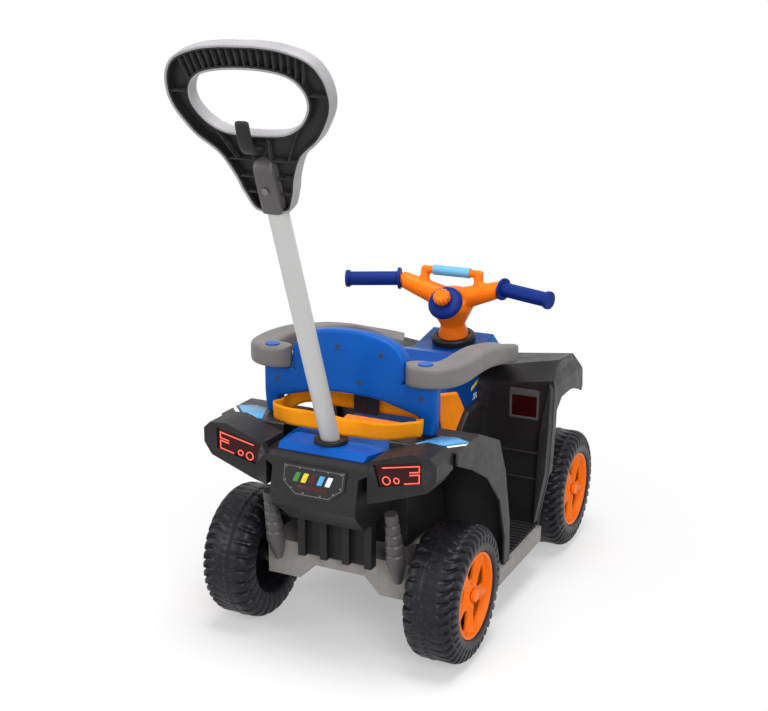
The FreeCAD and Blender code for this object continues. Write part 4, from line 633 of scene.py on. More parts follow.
# Soft PVC sleeve: dull, slightly rubbery, with a fine texture that hides gloss.
NAVY_PVC = Moulding("soft_pvc_navy", "#06246c", "#2c4f96", 0.5, ior=1.53, grain_mm=1.8, grain_depth_mm=0.12,
                    sheen_level=0.12)
SKY_PVC = Moulding("soft_pvc_sky_blue", "#5fa2c6", "#9ac9e2", 0.5, ior=1.53, grain_mm=1.8, grain_depth_mm=0.1)
# Polycarbonate lens plate: hard mirror-like gloss over a dark ground.
RED_LENS = Moulding("polycarbonate_dark_red", "#2c0809", "#6a2420", 0.12, ior=1.585, grain_mm=6.0,
                    grain_depth_mm=0.04, sheen_level=0.14)
CLEAR_LENS = Moulding("polycarbonate_smoke", "#b7bcc0", "#e6e8ea", 0.1, ior=1.585, grain_mm=6.0,
                      grain_depth_mm=0.04, coat=0.6)
# Printed lamp lines with a painted glow.
LENS_LINE = PaintedGlowLine("print_painted_glow_red", "#d8402f", "#f08a78", 0.2, ior=1.585)
# Polystyrene plate: black, cast smooth, with sharp reflections.
PLATE_PS = Moulding("polystyrene_gloss_black", "#131416", "#3a3b3e", 0.12, ior=1.59, grain_mm=6.0,
                    grain_depth_mm=0.02, wear_and_highlight_share=0.2)
# Powder-coated steel tube: white with a faint ripple and a soft sheen.
POWDER_STEEL = CoatedSteel("powder_coated_steel", "#b2b2b1", "#cbcac7", 0.36, grain_mm=2.4,
                           grain_depth_mm=0.015, drift=0.015, wear_and_highlight_share=0.0)
# Zinc-plated steel: grey mirror broken up by handling marks.
ZINC_STEEL = CoatedSteel("zinc_plated_steel", "#6f6a64", "#9a958e", 0.34, grain_mm=1.2,
                         grain_depth_mm=0.03, metallic=1.0)
# Screw steel: dull, coloured dark blue as painted shade in the screw recesses.
SCREW_SHADE_STEEL = CoatedSteel("screw_steel_painted_shade", "#16284a", "#34486e", 0.45, grain_mm=1.2, grain_depth_mm=0.03)
# Woven nylon webbing: its 0.5 mm threads are drawn at 1.5 mm so that the ribs show.
ORANGE_NYLON = Webbing("nylon_webbing_orange", "#e68a04", "#f2a424", 0.72, ior=1.53, cloud_mm=22.0,
                       sheen_level=0.12)
# Printed vinyl: a flat gloss film over the moulding.
VINYL_WHITE = Moulding("vinyl_white", "#dfe6ea", "#f4f4f2", 0.25, wear_and_highlight_share=0.1)
VINYL_SKY = Moulding("vinyl_sky_blue", "#4f9fd4", "#9ccbe8", 0.25, wear_and_highlight_share=0.1)
VINYL_BLACK = Moulding("vinyl_black", "#1a191c", "#3c3a3e", 0.25, wear_and_highlight_share=0.1)
VINYL_YELLOW = Moulding("vinyl_yellow", "#d9c520", "#efdc7a", 0.25, wear_and_highlight_share=0.1)
VINYL_GREEN = Moulding("vinyl_green", "#3f7f3a", "#86b47a", 0.25, wear_and_highlight_share=0.1)
VINYL_RED = Moulding("vinyl_dark_red", "#4a1618", "#7a3c38", 0.16, wear_and_highlight_share=0.1)


def put(name: str, mesh: Mesh, body: str, finishes: Sequence[Moulding],
        stands_for: Sequence[str] = (), at: Matrix | None = None) -> bpy.types.Object:
    """Places a finished mesh on the bike.

    Args:
        name: the piece's name.
        mesh: its mesh, in metres.
        body: the CAD body that it moves with.
        finishes: its materials in order.
        stands_for: the CAD nodes that it replaces.
        at: where its own frame lies.

    Returns:
        The piece.
    """
    obj = linked(name, mesh)
    if not mesh.materials:
        for finish in finishes:
            mesh.materials.append(finish.material())
    if at is not None:
        obj.matrix_world = at
    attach(obj, body)
    if stands_for:
        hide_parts(*stands_for)
    LOG.info("%s: %d faces on %s", name, len(mesh.polygons), body)
    return obj


@dataclass
class Wheels:
    """The four blow-moulded wheels, each a black moulding with an orange insert."""

    axles: tuple[tuple[str, float], ...] = (("front", 326.0), ("rear", -REAR_AXLE_BACK))
    half_track: float = 170.0
    axle_height: float = 105.0
    half_width: float = 41.0
    crown: float = 103.7
    crown_half: float = 14.0
    barrel: float = 62.0
    seat_radius: float = 66.1
    bead_in: float = 5.0
    outer_bead: Outline = ((2, 68), (0.4, 72))
    shoulder: Outline = ((0, 79), (0.4, 87), (2.2, 93.5), (6, 98.8), (11.5, 102.4), (18, 103.9))
    inner_bead: Outline = ((0.4, 71), (2, 65.5))
    web_back: float = 10.0
    web_face: float = 14.0
    hub_radius: float = 15.0
    hub_back: float = -26.0
    bore: float = 5.1
    turns: int = 360
    outer_lugs: int = 40
    lug_start: float = 4.0
    lug_edges: tuple[float, ...] = (8, 20, 52, 64)
    lug_sway: float = 0.42
    lug_sway_run: float = 34.0
    inner_notches: int = 30
    notch_edges: tuple[float, ...] = (17, 24, 46, 58)
    groove_depth: float = 5.0
    cross_depth: float = 0.9
    seam_at: float = -7.0
    seam_rise: float = 1.3
    tick_count: int = 60
    tick_at: float = -2.5
    tick_depth: float = 1.2
    insert_face: float = 29.0
    disc_radius: float = 64.0
    disc_wall: float = 5.0
    lip: Outline = ((14.3, 65.9), (36.9, 65.9), (38.1, 65.4), (38.5, 64.3), (38.5, 62.6), (38, 61.5),
                    (36.5, 60.7), (33, 59.8), (30, 58.8), (28, 58.4), (14.3, 58.4))
    hub: Outline = ((14.2, 5.1), (31.9, 5.1), (31.9, 11.4), (31.6, 13.2), (30.6, 15), (28.5, 16.6),
                    (14.2, 16.6))
    windows: int = 5
    window: Outline = ((-7.5, 25), (7.5, 25), (19.5, 51), (0, 56), (-19.5, 51))
    petal: tuple[Point, ...] = ((12.5, 6.5, 5.0), (20, 7.2, 5.4), (29, 8.0, 4.8), (40, 9.5, 5.0),
                                (51, 12.5, 5.6), (59.5, 15.0, 6.2))

    def skin(self) -> list[Flat]:
        """The (x, radius) line of the outside, from the outer bead over the crown to the inner bead."""
        outer = ((self.bead_in, self.seat_radius), *self.outer_bead, *self.shoulder)
        inner = (*reversed(self.shoulder), *self.inner_bead, (self.bead_in, self.barrel))
        top = [(x, self.crown) for x in (self.crown_half, 0, -self.crown_half)]
        return curve_through([*((self.half_width - x, r) for x, r in outer), *top,
                              *((x - self.half_width, r) for x, r in inner)], 4)

    def tread(self, turn: float, x: float, radius: float) -> float:
        """How far the moulding lies below its smooth skin.

        Args:
            turn: the angle round the wheel.
            x: how far out from the wheel's middle.
            radius: the skin's radius there.

        Returns:
            The depth, below 0 where it stands proud.
        """
        round_share = turn / (2 * math.pi)
        if x > self.lug_start:
            run = (x - self.lug_start) + (self.crown - radius)
            sway = self.lug_sway * math.sin(run / self.lug_sway_run * math.pi)
            groove = smoothstep(0.24, 0.4, abs((round_share * self.outer_lugs + sway) % 1 - 0.5))
            near = 1 - smoothstep(*self.lug_edges[:2], run)
            return groove * (self.groove_depth * between(self.lug_edges, run) + self.cross_depth * near)
        span = between(self.notch_edges, -x + (self.crown - radius))
        groove = smoothstep(0.3, 0.42, abs(round_share * self.inner_notches % 1 - 0.5))
        depth = groove * (self.groove_depth * span + self.cross_depth * smoothstep(9, 12, -x) * (1 - span))
        depth -= self.seam_rise * (1 - smoothstep(0.8, 2.2, abs(x - self.seam_at)))
        tick = smoothstep(0.3, 0.42, abs(round_share * self.tick_count % 1 - 0.5))
        return depth + self.tick_depth * tick * (1 - smoothstep(2.6, 3.6, abs(x - self.tick_at)))

    def tyre(self) -> Mesh:
        """The black moulding: tread, sidewalls, barrel, web and hub in one skin."""
        line = self.skin()
        back = [(self.web_back, self.barrel), (self.web_back, self.hub_radius),
                (self.hub_back, self.hub_radius), (self.hub_back, self.bore), (self.web_face, self.bore),
                (self.web_face, self.seat_radius)]
        normals = [Vector((-run.y, run.x)) for run in (direction(line, i) for i in range(len(line)))]
        sections = []
        for i in range(self.turns):
            turn = 2 * math.pi * i / self.turns
            depths = [self.tread(turn, x, r) for x, r in line]
            ring = [(x + n.x * d, r + n.y * d) for (x, r), n, d in zip(line, normals, depths)]
            sections.append(ring + back)
        mesh = revolved("wheel_moulding", sections)
        mesh.set_sharp_from_angle(angle=math.radians(48))
        return mesh

    def petals(self) -> list[Mesh]:
        """The broad spokes of the insert, each with a ridge along its middle."""
        made = []
        for k in range(self.windows):
            turn = 2 * math.pi * (k + 0.5) / self.windows
            out = Vector((0, math.sin(turn), math.cos(turn)))
            side = Vector((0, math.cos(turn), -math.sin(turn)))
            rings = []
            for radius, half, rise in self.petal:
                ring = []
                for j in range(13):
                    swing = math.cos(math.pi * j / 12)
                    up = self.insert_face - 1 + (rise + 1) * (1 - abs(swing) ** 1.4)
                    ring.append(tuple(out * radius + side * half * swing + Vector((up, 0, 0))))
                rings.append(ring)
            made.append(swept("insert_petal", rings))
        return made

    def insert(self) -> Mesh:
        """The orange insert: a disc with five deep windows, its petal spokes, its lip and its hub."""
        loops = [[(v, u) for u, v in circle(0, 0, self.disc_radius, 120)]]
        for k in range(self.windows):
            turn = 2 * math.pi * k / self.windows
            loops.append([(u * math.cos(turn) + v * math.sin(turn), v * math.cos(turn) - u * math.sin(turn))
                          for u, v in soft_corners(self.window, 5)])
        disc = plate("insert_disc", loops, self.insert_face - self.disc_wall, self.insert_face, 1.2,
                     Plane.WHEEL)
        lip, hub = revolved("insert_lip", [self.lip] * 120), revolved("insert_hub", [self.hub] * 60)
        return joined("wheel_insert", [disc, lip, hub, *self.petals()])

    def build(self) -> None:
        """Makes the two meshes once and fits them at the four corners."""
        tyre, insert = self.tyre(), self.insert()
        for end, y in self.axles:
            for side in Side:
                name, body = side.name.lower(), f"{end}_wheel_{side.name.lower()}"
                turn = Matrix.Rotation(math.pi if side is Side.LEFT else 0.0, 4, "Z")
                centre = Vector((side.value * self.half_track, y, self.axle_height))
                at = Matrix.Translation(centre * MM) @ turn
                put(f"{end}_{name}_treaded_wheel", tyre, body, [WHEEL_PE],
                    [f"{end}_tyre_{name}"], at)
                put(f"{end}_{name}_wheel_insert", insert, body, [ORANGE_PP],
                    [f"{end}_rim_{name}"], at)


@dataclass
class PushHandle:
    """The stirrup-shaped push handle: a pale tray, a ribbed black back inside it, a spine and a bag hook."""

    foot: Point = (0.0, -214.0, 332.0)
    lean_deg: float = 21.5
    start: float = 389.0
    back_depth: float = 12.0
    front_depth: float = 8.0
    tray_inside: float = -4.0
    skirt: float = 3.2
    hole_skirt: float = 2.8
    fit: float = 0.1
    lining: float = 2.2
    rib: float = 1.6
    rib_rise: float = 9.5
    top_ribs: int = 18
    top_reach: float = 88.0
    fan: float = 0.003
    fan_foot: float = 0.82
    fan_level: float = 150.0
    strut_level: float = 163.0
    rungs: tuple[float, ...] = (27.0, 49.0, 73.0)
    struts: tuple[tuple[Flat, Flat], ...] = (((36, 72), (60, 117)), ((12, 74), (14, 107)))
    spine_half: float = 15.5
    spine_depth: float = 17.0
    front_cover: Outline = ((0.4, 0.97), (3, 1.0), (50, 1.0), (58, 0.85), (63, 0.45))
    back_cover: Outline = ((0.4, 0.97), (3, 1.0), (58, 1.0), (66, 0.92), (72, 0.6), (75, 0.25))
    outer_half: Outline = ((8, 0), (19, 0.6), (26.5, 4.5), (31, 12), (35, 22), (39, 32), (45, 52), (60, 81),
                           (86, 103), (100, 121), (112, 143), (115.5, 165), (110, 190), (93, 210),
                           (58, 222.5), (22, 226.5))
    hole_half: Outline = ((18, 110), (46, 114), (68, 128), (81, 150), (78, 171), (60, 187), (24, 194))
    hook_line: Outline = ((-10, 92), (-20, 92.5), (-29, 96), (-34, 106), (-35, 121), (-33.5, 139))
    hook_thick: float = 4.4
    hook_half: float = 10.8
    hook_taper: Flat = (1.4, 1.6)
    hook_tip: Flat = (0.45, 0.75)

    def frame(self) -> Matrix:
        """The handle's own frame, whose Z runs up the pole."""
        return leaning(self.foot, self.lean_deg) @ Matrix.Translation((0, 0, self.start * MM))

    def outer(self) -> list[Flat]:
        """The handle's outline, square at the neck's foot."""
        return mirrored(curve_through(self.outer_half, 6))

    def hole(self) -> list[Flat]:
        """The outline of the hand hole."""
        return curve_through(mirrored(self.hole_half), 6, closed=True)

    def crossing(self, loop: Sequence[Flat], at: Flat, way: Vector) -> Flat:
        """Where a ray first meets an outline.

        Args:
            loop: the closed outline.
            at: where the ray starts.
            way: its direction.

        Returns:
            The meeting point, or the start where it meets nothing.
        """
        best, found = math.inf, at
        for i in range(len(loop)):
            a, b = Vector(loop[i - 1]), Vector(loop[i])
            run, gap = b - a, a - Vector(at)
            det = way.x * -run.y + run.x * way.y
            if abs(det) < 1e-9:
                continue
            t = (gap.x * -run.y + run.x * gap.y) / det
            s = (way.x * gap.y - way.y * gap.x) / det
            if 0 <= s <= 1 and 0 < t < best:
                best, found = t, (at[0] + way.x * t, at[1] + way.y * t)
        return found

    def ribs(self) -> list[Mesh]:
        """The row of ribs over the hand hole, the struts beside it and the rungs down the neck."""
        outer = inset(self.outer(), self.skirt + self.lining / 2, True)
        hole = inset(self.hole(), -self.hole_skirt - self.lining / 2)
        lines = []
        for k in range(self.top_ribs):
            x = self.top_reach * (2 * k / (self.top_ribs - 1) - 1)
            way = Vector((x * self.fan, 1)).normalized()
            foot = self.crossing(hole, (self.fan_foot * x, self.fan_level), way)
            lines.append((foot, self.crossing(outer, foot, way)))
        for side in (Side.RIGHT, Side.LEFT):
            way = Vector((side.value, 0))
            foot = self.crossing(hole, (0.0, self.strut_level), way)
            lines.append((foot, self.crossing(outer, foot, way)))
            for level in self.rungs:
                start = (side.value * (self.spine_half - 3), level)
                lines.append((start, self.crossing(outer, (0.0, level), way)))
            lines += [sided(side, strut) for strut in self.struts]
        return [plate("handle_rib", [strip(a, b, self.rib)], 1.0, self.rib_rise, 0.4)
                for a, b in lines]

    def cover(self, levels: Sequence[Flat], way: int) -> Mesh:
        """A flat-topped cover over the tube's end.

        Args:
            levels: heights up the neck and the share of the full section at each.
            way: -1 for the back, 1 for the front.

        Returns:
            The cover's mesh.
        """
        rings = []
        for level, scale in levels:
            ring = []
            for k in range(25):
                turn = math.pi * k / 24
                half = self.spine_half * (0.6 + 0.4 * scale)
                deep = 0.5 + (self.spine_depth - 0.5) * math.sin(turn) ** 0.4 * scale
                ring.append((half * signed_power(math.cos(turn), 0.45), way * deep, level))
            rings.append(ring)
        return swept("handle_cover", rings)

    def hook(self) -> Mesh:
        """The S-curved bag hook that stands out behind the neck."""
        line = curve_through(self.hook_line, 6)
        rings = []
        for i, (y, z) in enumerate(line):
            share = i / (len(line) - 1)
            run = direction(line, i)
            thick = self.hook_thick - self.hook_taper[0] * share
            half = self.hook_half - self.hook_taper[1] * share
            if share == 1:
                thick, half = thick * self.hook_tip[0], half * self.hook_tip[1]
            ring = []
            for u, v in circle(0, 0, 1, 20):
                over = thick * signed_power(v, 0.5)
                ring.append((half * signed_power(u, 0.5), y - run.y * over, z + run.x * over))
            rings.append(ring)
        return swept("handle_hook", rings)

    def build(self) -> None:
        """Makes the handle's two halves and its hook and sets them on the pole."""
        outer, hole, back = self.outer(), self.hole(), self.back_depth
        wall, hole_wall = inset(outer, self.skirt, True), inset(hole, -self.hole_skirt)
        edge, rim = inset(outer, self.skirt + self.fit, True), inset(hole, -self.hole_skirt - self.fit)
        tray = [plate("tray_face", [outer, hole], -self.front_depth, -self.fit, 3.4),
                plate("tray_side", [outer, wall], self.tray_inside, back, 1.1),
                plate("tray_hole_side", [hole_wall, hole], self.tray_inside, back - 0.5, 1.0),
                self.cover(self.front_cover, 1)]
        lined = [plate("back_side", [edge, inset(edge, self.lining, True)], 0.0, back - 1.0, 0.6),
                 plate("back_hole_side", [inset(rim, -self.lining), rim], 0.0, back - 1.4, 0.6),
                 plate("back_floor", [inset(edge, 1, True), inset(rim, -1)], 0.0, 2.0, 0.2), *self.ribs()]
        # The back cover takes the charcoal: a lighter copy of the black, as painted light on the spine.
        shell = joined("handle_back", [*lined, self.cover(self.back_cover, -1)], [0] * len(lined) + [1])
        front, hook = joined("handle_tray", tray), self.hook()
        for mesh in (shell, front, hook):
            mesh.transform(self.frame())
        put("push_handle_ribbed_back", shell, "push_handle", [BLACK_PP, CHARCOAL_AND_LIT_BLACK_PP],
            ["handle_back_shell"])
        put("push_handle_pale_tray", front, "push_handle", [PALE_PP], ["handle_front_shell"])
        put("push_handle_bag_hook", hook, "push_handle", [BLACK_PP], ["bag_hook"])


@dataclass
class Handlebar:
    """The one-piece moulded handlebar, with the soft blends of a hollow moulding."""

    voxel: float = 2.4
    rounds: int = 9

    def build(self) -> None:
        """Remakes the bar from its solid with the hard joins of its tubes softened."""
        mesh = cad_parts["handlebar"].data.copy()
        mesh.materials.clear()
        bar = put("moulded_handlebar", mesh, "steering", [ORANGE_PP], ["handlebar"])
        cells = bar.modifiers.new("moulding", "REMESH")
        cells.mode, cells.voxel_size, cells.use_smooth_shade = "VOXEL", self.voxel * MM, True
        soft = bar.modifiers.new("blend", "SMOOTH")
        soft.factor, soft.iterations = 0.5, self.rounds


@dataclass
class Horn:
    """The horn in the middle of the bar: a smooth dome with a knurled push button."""

    column: Point = (0.0, 243.0, 376.0)
    column_lean_deg: float = 10.0
    seat: Point = (0.0, -26.0, 80.0)
    seat_lean_deg: float = 40.0
    dome_line: Outline = ((0.1, 30.4), (3.5, 30.3), (7.2, 28.9), (10.2, 25.8), (12.2, 21.2),
                          (12.9, 16.5), (12.9, 8.6), (0.1, 8.6))
    knob_radius: float = 14.4
    knob_flutes: int = 13
    knob_pips: int = 6
    pip_rise: float = 0.7
    flute: float = 0.6
    turns: int = 156

    def frame(self) -> Matrix:
        """The horn's own frame, whose X runs out along the button."""
        lean = leaning(self.column, self.column_lean_deg) @ leaning(self.seat, self.seat_lean_deg)
        return lean @ Matrix.Rotation(-math.pi / 2, 4, "Y")

    def knob(self) -> Mesh:
        """The button: a stem, a fluted side and a top with a ring of raised pips."""
        sections = []
        for i in range(self.turns):
            turn = 2 * math.pi * i / self.turns
            side = self.knob_radius + self.flute * math.cos(self.knob_flutes * turn)
            pip, core = (self.pip_rise * smoothstep(0.1, 0.7, math.cos(count * turn))
                         for count in (self.knob_flutes, self.knob_pips))
            sections.append([(13.4, 0.3), (13.4, 7.5), (17.4, 7.5), (17.4, side - 1), (18.4, side),
                             (27.5, side), (29.8, side - 1.2), (31, side - 3), (31.2, 11.2),
                             (31.3 + pip, 9.6), (31.3, 7.8), (31.3, 6.2), (31.3 + core, 4.6), (31.3, 2.6),
                             (31.3, 0.3)])
        return revolved("horn_knob", sections)

    def build(self) -> None:
        """Sets the dome on the bar and the button in it."""
        at = self.frame()
        dome = revolved("horn_dome", [self.dome_line] * 96)
        put("horn_dome", dome, "steering", [NAVY_PVC], ["horn_bezel"], at)
        put("horn_push_button", self.knob(), "horn", [ORANGE_PP], ["horn_button"], at)


@dataclass
class BackRest:
    """The blue backrest: two shells in one rounded outline over its posts, with screws from behind."""

    back: float = 164.0
    split: float = 152.0
    front: float = 140.0
    rounding: float = 5.0
    overlap: float = 5.5
    step: float = 0.3
    crown: Outline = ((94, 424), (93.6, 440), (91, 453), (84, 465), (71, 475), (52, 481.8),
                      (27, 485.8), (0, 487))
    foot: Outline = ((0, 391), (34, 390), (60, 386.5), (118, 371), (119, 344), (139, 344), (142, 376),
                     (142, 420), (96, 420))
    arch_half: float = 30.0
    screw: float = 4.3
    screw_sunk: float = 0.6
    screw_rise: float = 0.35
    slot: Outline = (
        (-0.6, -0.14), (-0.14, -0.14), (-0.14, -0.6), (0.14, -0.6), (0.14, -0.14), (0.6, -0.14), (0.6, 0.14),
        (0.14, 0.14), (0.14, 0.6), (-0.14, 0.6), (-0.14, 0.14), (-0.6, 0.14))
    screws: Outline = ((-119.3, 399.8), (119.3, 399.8), (-55.4, 457), (55.4, 457), (-15.6, 461.3),
                       (19.9, 411.2))

    def outline(self) -> list[Flat]:
        """The whole outline, from the middle of the arch out, up and over the crown."""
        lower = [p for p in soft_corners(self.foot, 7) if p[0] > self.arch_half]
        return mirrored([self.foot[0], *lower, *curve_through(self.crown, 6)])

    def build(self) -> None:
        """Makes the two shells and the screw heads."""
        whole = self.outline()
        rear = plate("backrest_rear", [whole], self.split - self.overlap, self.back, self.rounding)
        fore = plate("backrest_fore", [inset(whole, self.step)], self.front, self.split + self.overlap,
                     self.rounding)
        put("backrest_rear_shell", rear, "body", [BLUE_PP], ["backrest_back"])
        put("backrest_front_shell", fore, "body", [BLUE_PP], ["backrest_front"])
        heads, low = [], self.back - self.screw_sunk
        for x, z in self.screws:
            ring = circle(x, z, self.screw, 24)
            slot = [(x + self.screw * u, z + self.screw * v) for u, v in self.slot]
            heads.append(plate("screw_head", [ring, slot], low, self.back + self.screw_rise, 0.2))
            heads.append(plate("screw_floor", [inset(ring, 0.4)], low, self.back + 0.1, 0.1))
        # The screw heads and their floors are dark blue as painted shade in the recesses.
        put("backrest_screw_heads", joined("backrest_screw_heads", heads), "body", [SCREW_SHADE_STEEL],
            ["backrest_screws"])


@dataclass
class ArmRests:
    """The grey armrests, which wrap from the backrest's shoulders forward and down to the tank."""

    half_width: float = 22.0
    height: float = 32.0
    groove: float = 2.4
    groove_half: float = 8.0
    groove_edge: float = 1.5
    groove_ends: tuple[float, ...] = (12, 16, 38, 43)
    end_rings: int = 7
    line: tuple[Point, ...] = ((118, -10, 452.3), (134, -8, 452.3), (149, 5, 452.3), (155, 32, 452.3),
                               (154.5, 72, 452), (151, 125, 447.6), (146.5, 180, 438), (142.5, 235, 427),
                               (135, 288, 412.6), (112, 326, 398), (73, 345.5, 388.4))

    def spots(self) -> list[Vector]:
        """Points along the middle of the top, at small steps."""
        plan = curve_through([(x, y) for x, y, z in self.line], 5)
        rise = curve_through([(i, z) for i, (x, y, z) in enumerate(self.line)], 5)
        return [Vector((x, y - REAR_AXLE_BACK, z)) for (x, y), (i, z) in zip(plan, rise)]

    def ring(self, spot: Vector, run: Vector, half: float, groove: float) -> list[Point]:
        """The rounded section of the arm at one point.

        Args:
            spot: the middle of its top.
            run: which way the arm runs there.
            half: half its width there.
            groove: how deep the hand groove is there.

        Returns:
            The section's points.
        """
        across = Vector((run.y, -run.x, 0)).normalized()
        low, high = self.groove_half - self.groove_edge, self.groove_half + self.groove_edge
        points = []
        for c, s in circle(0, 0, 1, 48):
            u, v = half * signed_power(c, 0.3), self.height / 2 * (signed_power(s, 0.36) - 1)
            if v > -4:
                v -= groove * (1 - smoothstep(low, high, abs(u)))
            points.append(tuple(spot + across * u + Vector((0, 0, v))))
        return points

    def build(self) -> None:
        """Makes both arms, with round ends behind."""
        spots = self.spots()
        rings = []
        first = direction(spots[:2], 0)
        for k in range(self.end_rings):
            turn = math.pi / 2 * (1 - k / self.end_rings) * 0.97
            rings.append(self.ring(spots[0] - first * self.half_width * math.sin(turn), first,
                                   self.half_width * math.cos(turn), 0.0))
        for i, spot in enumerate(spots):
            depth = self.groove * between(self.groove_ends, i)
            rings.append(self.ring(spot, direction(spots, i), self.half_width, depth))
        for side in (Side.RIGHT, Side.LEFT):
            name = side.name.lower()
            turned = [[(side.value * x, y, z) for x, y, z in ring] for ring in rings]
            put(f"armrest_{name}_moulding", swept("armrest", turned), "body", [GREY_PP],
                [f"armrest_{name}"])


@dataclass
class LapBelt:
    """The lap belt: a loop of webbing lying slack round the seat, turned over a little behind it."""

    width: float = 25.0
    thickness: float = 1.8
    middle: float = 357.2
    sag: float = 6.0
    sag_span: float = 250.0
    lift: float = 5.0
    turn_over: float = 0.5
    rolled: tuple[float, ...] = (-110, -50, 10, 85)
    count: int = 320
    rows: int = 7
    loop: Outline = ((50, 59), (0, 57.5), (-50, 59), (-98, 57), (-110, 40), (-110, 12), (-109, -14),
                     (-113, -27), (-108, -38), (-84, -43), (-40, -38), (30, -44), (90, -44),
                     (122, -38), (129, -27), (115, -15), (111, 12), (111, 40), (98, 57))

    def path(self) -> list[Flat]:
        """The loop seen from above, at even steps."""
        line = curve_through([(x, y - REAR_AXLE_BACK) for x, y in self.loop], 16, closed=True)
        runs = [(Vector(line[(i + 1) % len(line)]) - Vector(line[i])).length for i in range(len(line))]
        total, points = sum(runs), []
        for k in range(self.count):
            left = total * k / self.count
            i = 0
            while left > runs[i]:
                left -= runs[i]
                i += 1
            a, b = Vector(line[i]), Vector(line[(i + 1) % len(line)])
            spot = a + (b - a) * (left / runs[i])
            points.append((spot.x, spot.y))
        return points

    def section(self, path: Sequence[Flat], i: int) -> list[Point]:
        """The tape's outer and inner rows of points at one step of the loop.

        Args:
            path: the loop seen from above.
            i: which step.

        Returns:
            The points, the outer row from below first.
        """
        x, y = path[i]
        run = (Vector(path[(i + 1) % self.count]) - Vector(path[i - 1])).normalized()
        along = 2 * math.pi * i / self.count
        behind = 1 - smoothstep(-26, -12, y + REAR_AXLE_BACK)
        wave = behind * (math.sin(9 * along) + 0.7 * math.sin(14 * along + 1.2))
        lean = behind * (0.1 - self.turn_over * between(self.rolled, x)) + 0.05 * math.sin(7 * along + 0.5)
        drop = self.sag * math.cos(math.pi * x / self.sag_span) - self.lift * smoothstep(70, 122, x)
        points = []
        for skin in (self.thickness / 2, -self.thickness / 2):
            for k in range(self.rows):
                up = (k / (self.rows - 1) - 0.5) * self.width
                shift = wave + skin + up * lean + 0.5 * math.cos(math.pi * up / self.width)
                points.append((x + run.y * shift, y - run.x * shift,
                               self.middle - behind * drop + up * math.cos(lean)))
        return points

    def build(self) -> None:
        """Makes the tape as a thin closed skin with its flat map."""
        path, rows, count = self.path(), self.rows, self.count
        length = sum((Vector(path[i]) - Vector(path[i - 1])).length for i in range(count))
        points = [Vector(p) * MM for i in range(count) for p in self.section(path, i)]
        ring = [*range(rows), *range(2 * rows - 1, rows - 1, -1)]
        faces, flat = [], []
        for i in range(count):
            here, there = i * 2 * rows, (i + 1) % count * 2 * rows
            u, v = i * length / count, (i + 1) * length / count
            for k, a in enumerate(ring):
                b = ring[(k + 1) % len(ring)]
                faces.append((here + a, here + b, there + b, there + a))
                flat.append(((u, a % rows), (u, b % rows), (v, b % rows), (v, a % rows)))
        mesh = bpy.data.meshes.new("lap_belt")
        mesh.from_pydata(points, [], faces)
        tape = mesh.uv_layers.new(name="tape")
        for face, corners in zip(mesh.polygons, flat):
            for loop, (u, row) in zip(face.loop_indices, corners):
                tape.data[loop].uv = (u, row * self.width / (rows - 1))
        mesh.shade_smooth()
        belt = put("lap_belt_webbing", mesh, "body", [ORANGE_NYLON], ["belt"])


@dataclass
class Liners:
    """Inner walls that close the lamp pods and rear fenders, and the shoulder strips of the front fenders."""

    wall: float = 1.6
    pod_inner: float = 88.0
    pod_front: float = 206.5
    pod_side: Outline = ((-259, 318), (-206, 318), (-206, 332.4), (-259, 332.4))
    pod_end: Outline = ((88, 306), (150, 306), (150, 350), (88, 331))
    fender_back: float = 201.0
    fender_end: Outline = ((87.5, 306), (150, 306), (150, 341.5), (87.5, 341.5))
    shoulder: Outline = ((202, 360), (210, 364.5), (216, 367.6), (228, 369.6), (264, 367.9),
                         (288, 365.8), (296, 360), (299, 357.6))

    def build(self) -> None:
        """Makes the walls and strips on both sides."""
        walls, strips = [], []
        for side in Side:
            low, high = sorted((side.value * self.pod_inner, side.value * (self.pod_inner + self.wall)))
            walls.append(plate("pod_side", [self.pod_side], low, high, 0.3, Plane.WHEEL))
            for outline, back in ((self.pod_end, self.pod_front), (self.fender_end, self.fender_back)):
                walls.append(plate("rear_wall", [sided(side, outline)], back, back + self.wall, 0.3))
            rings = []
            for y, top in self.shoulder:
                corners = ((205.2, 355.4), (202.7, top - 0.2), (199.5, top - 1.4), (201.5, 354.4))
                rings.append([(x, y, z) for x, z in sided(side, corners)])
            strips.append(swept("shoulder", rings))
        for name, parts in (("lamp_pod_liners", walls), ("front_fender_shoulders", strips)):
            put(name, joined(name, parts), "body", [BLACK_PP])


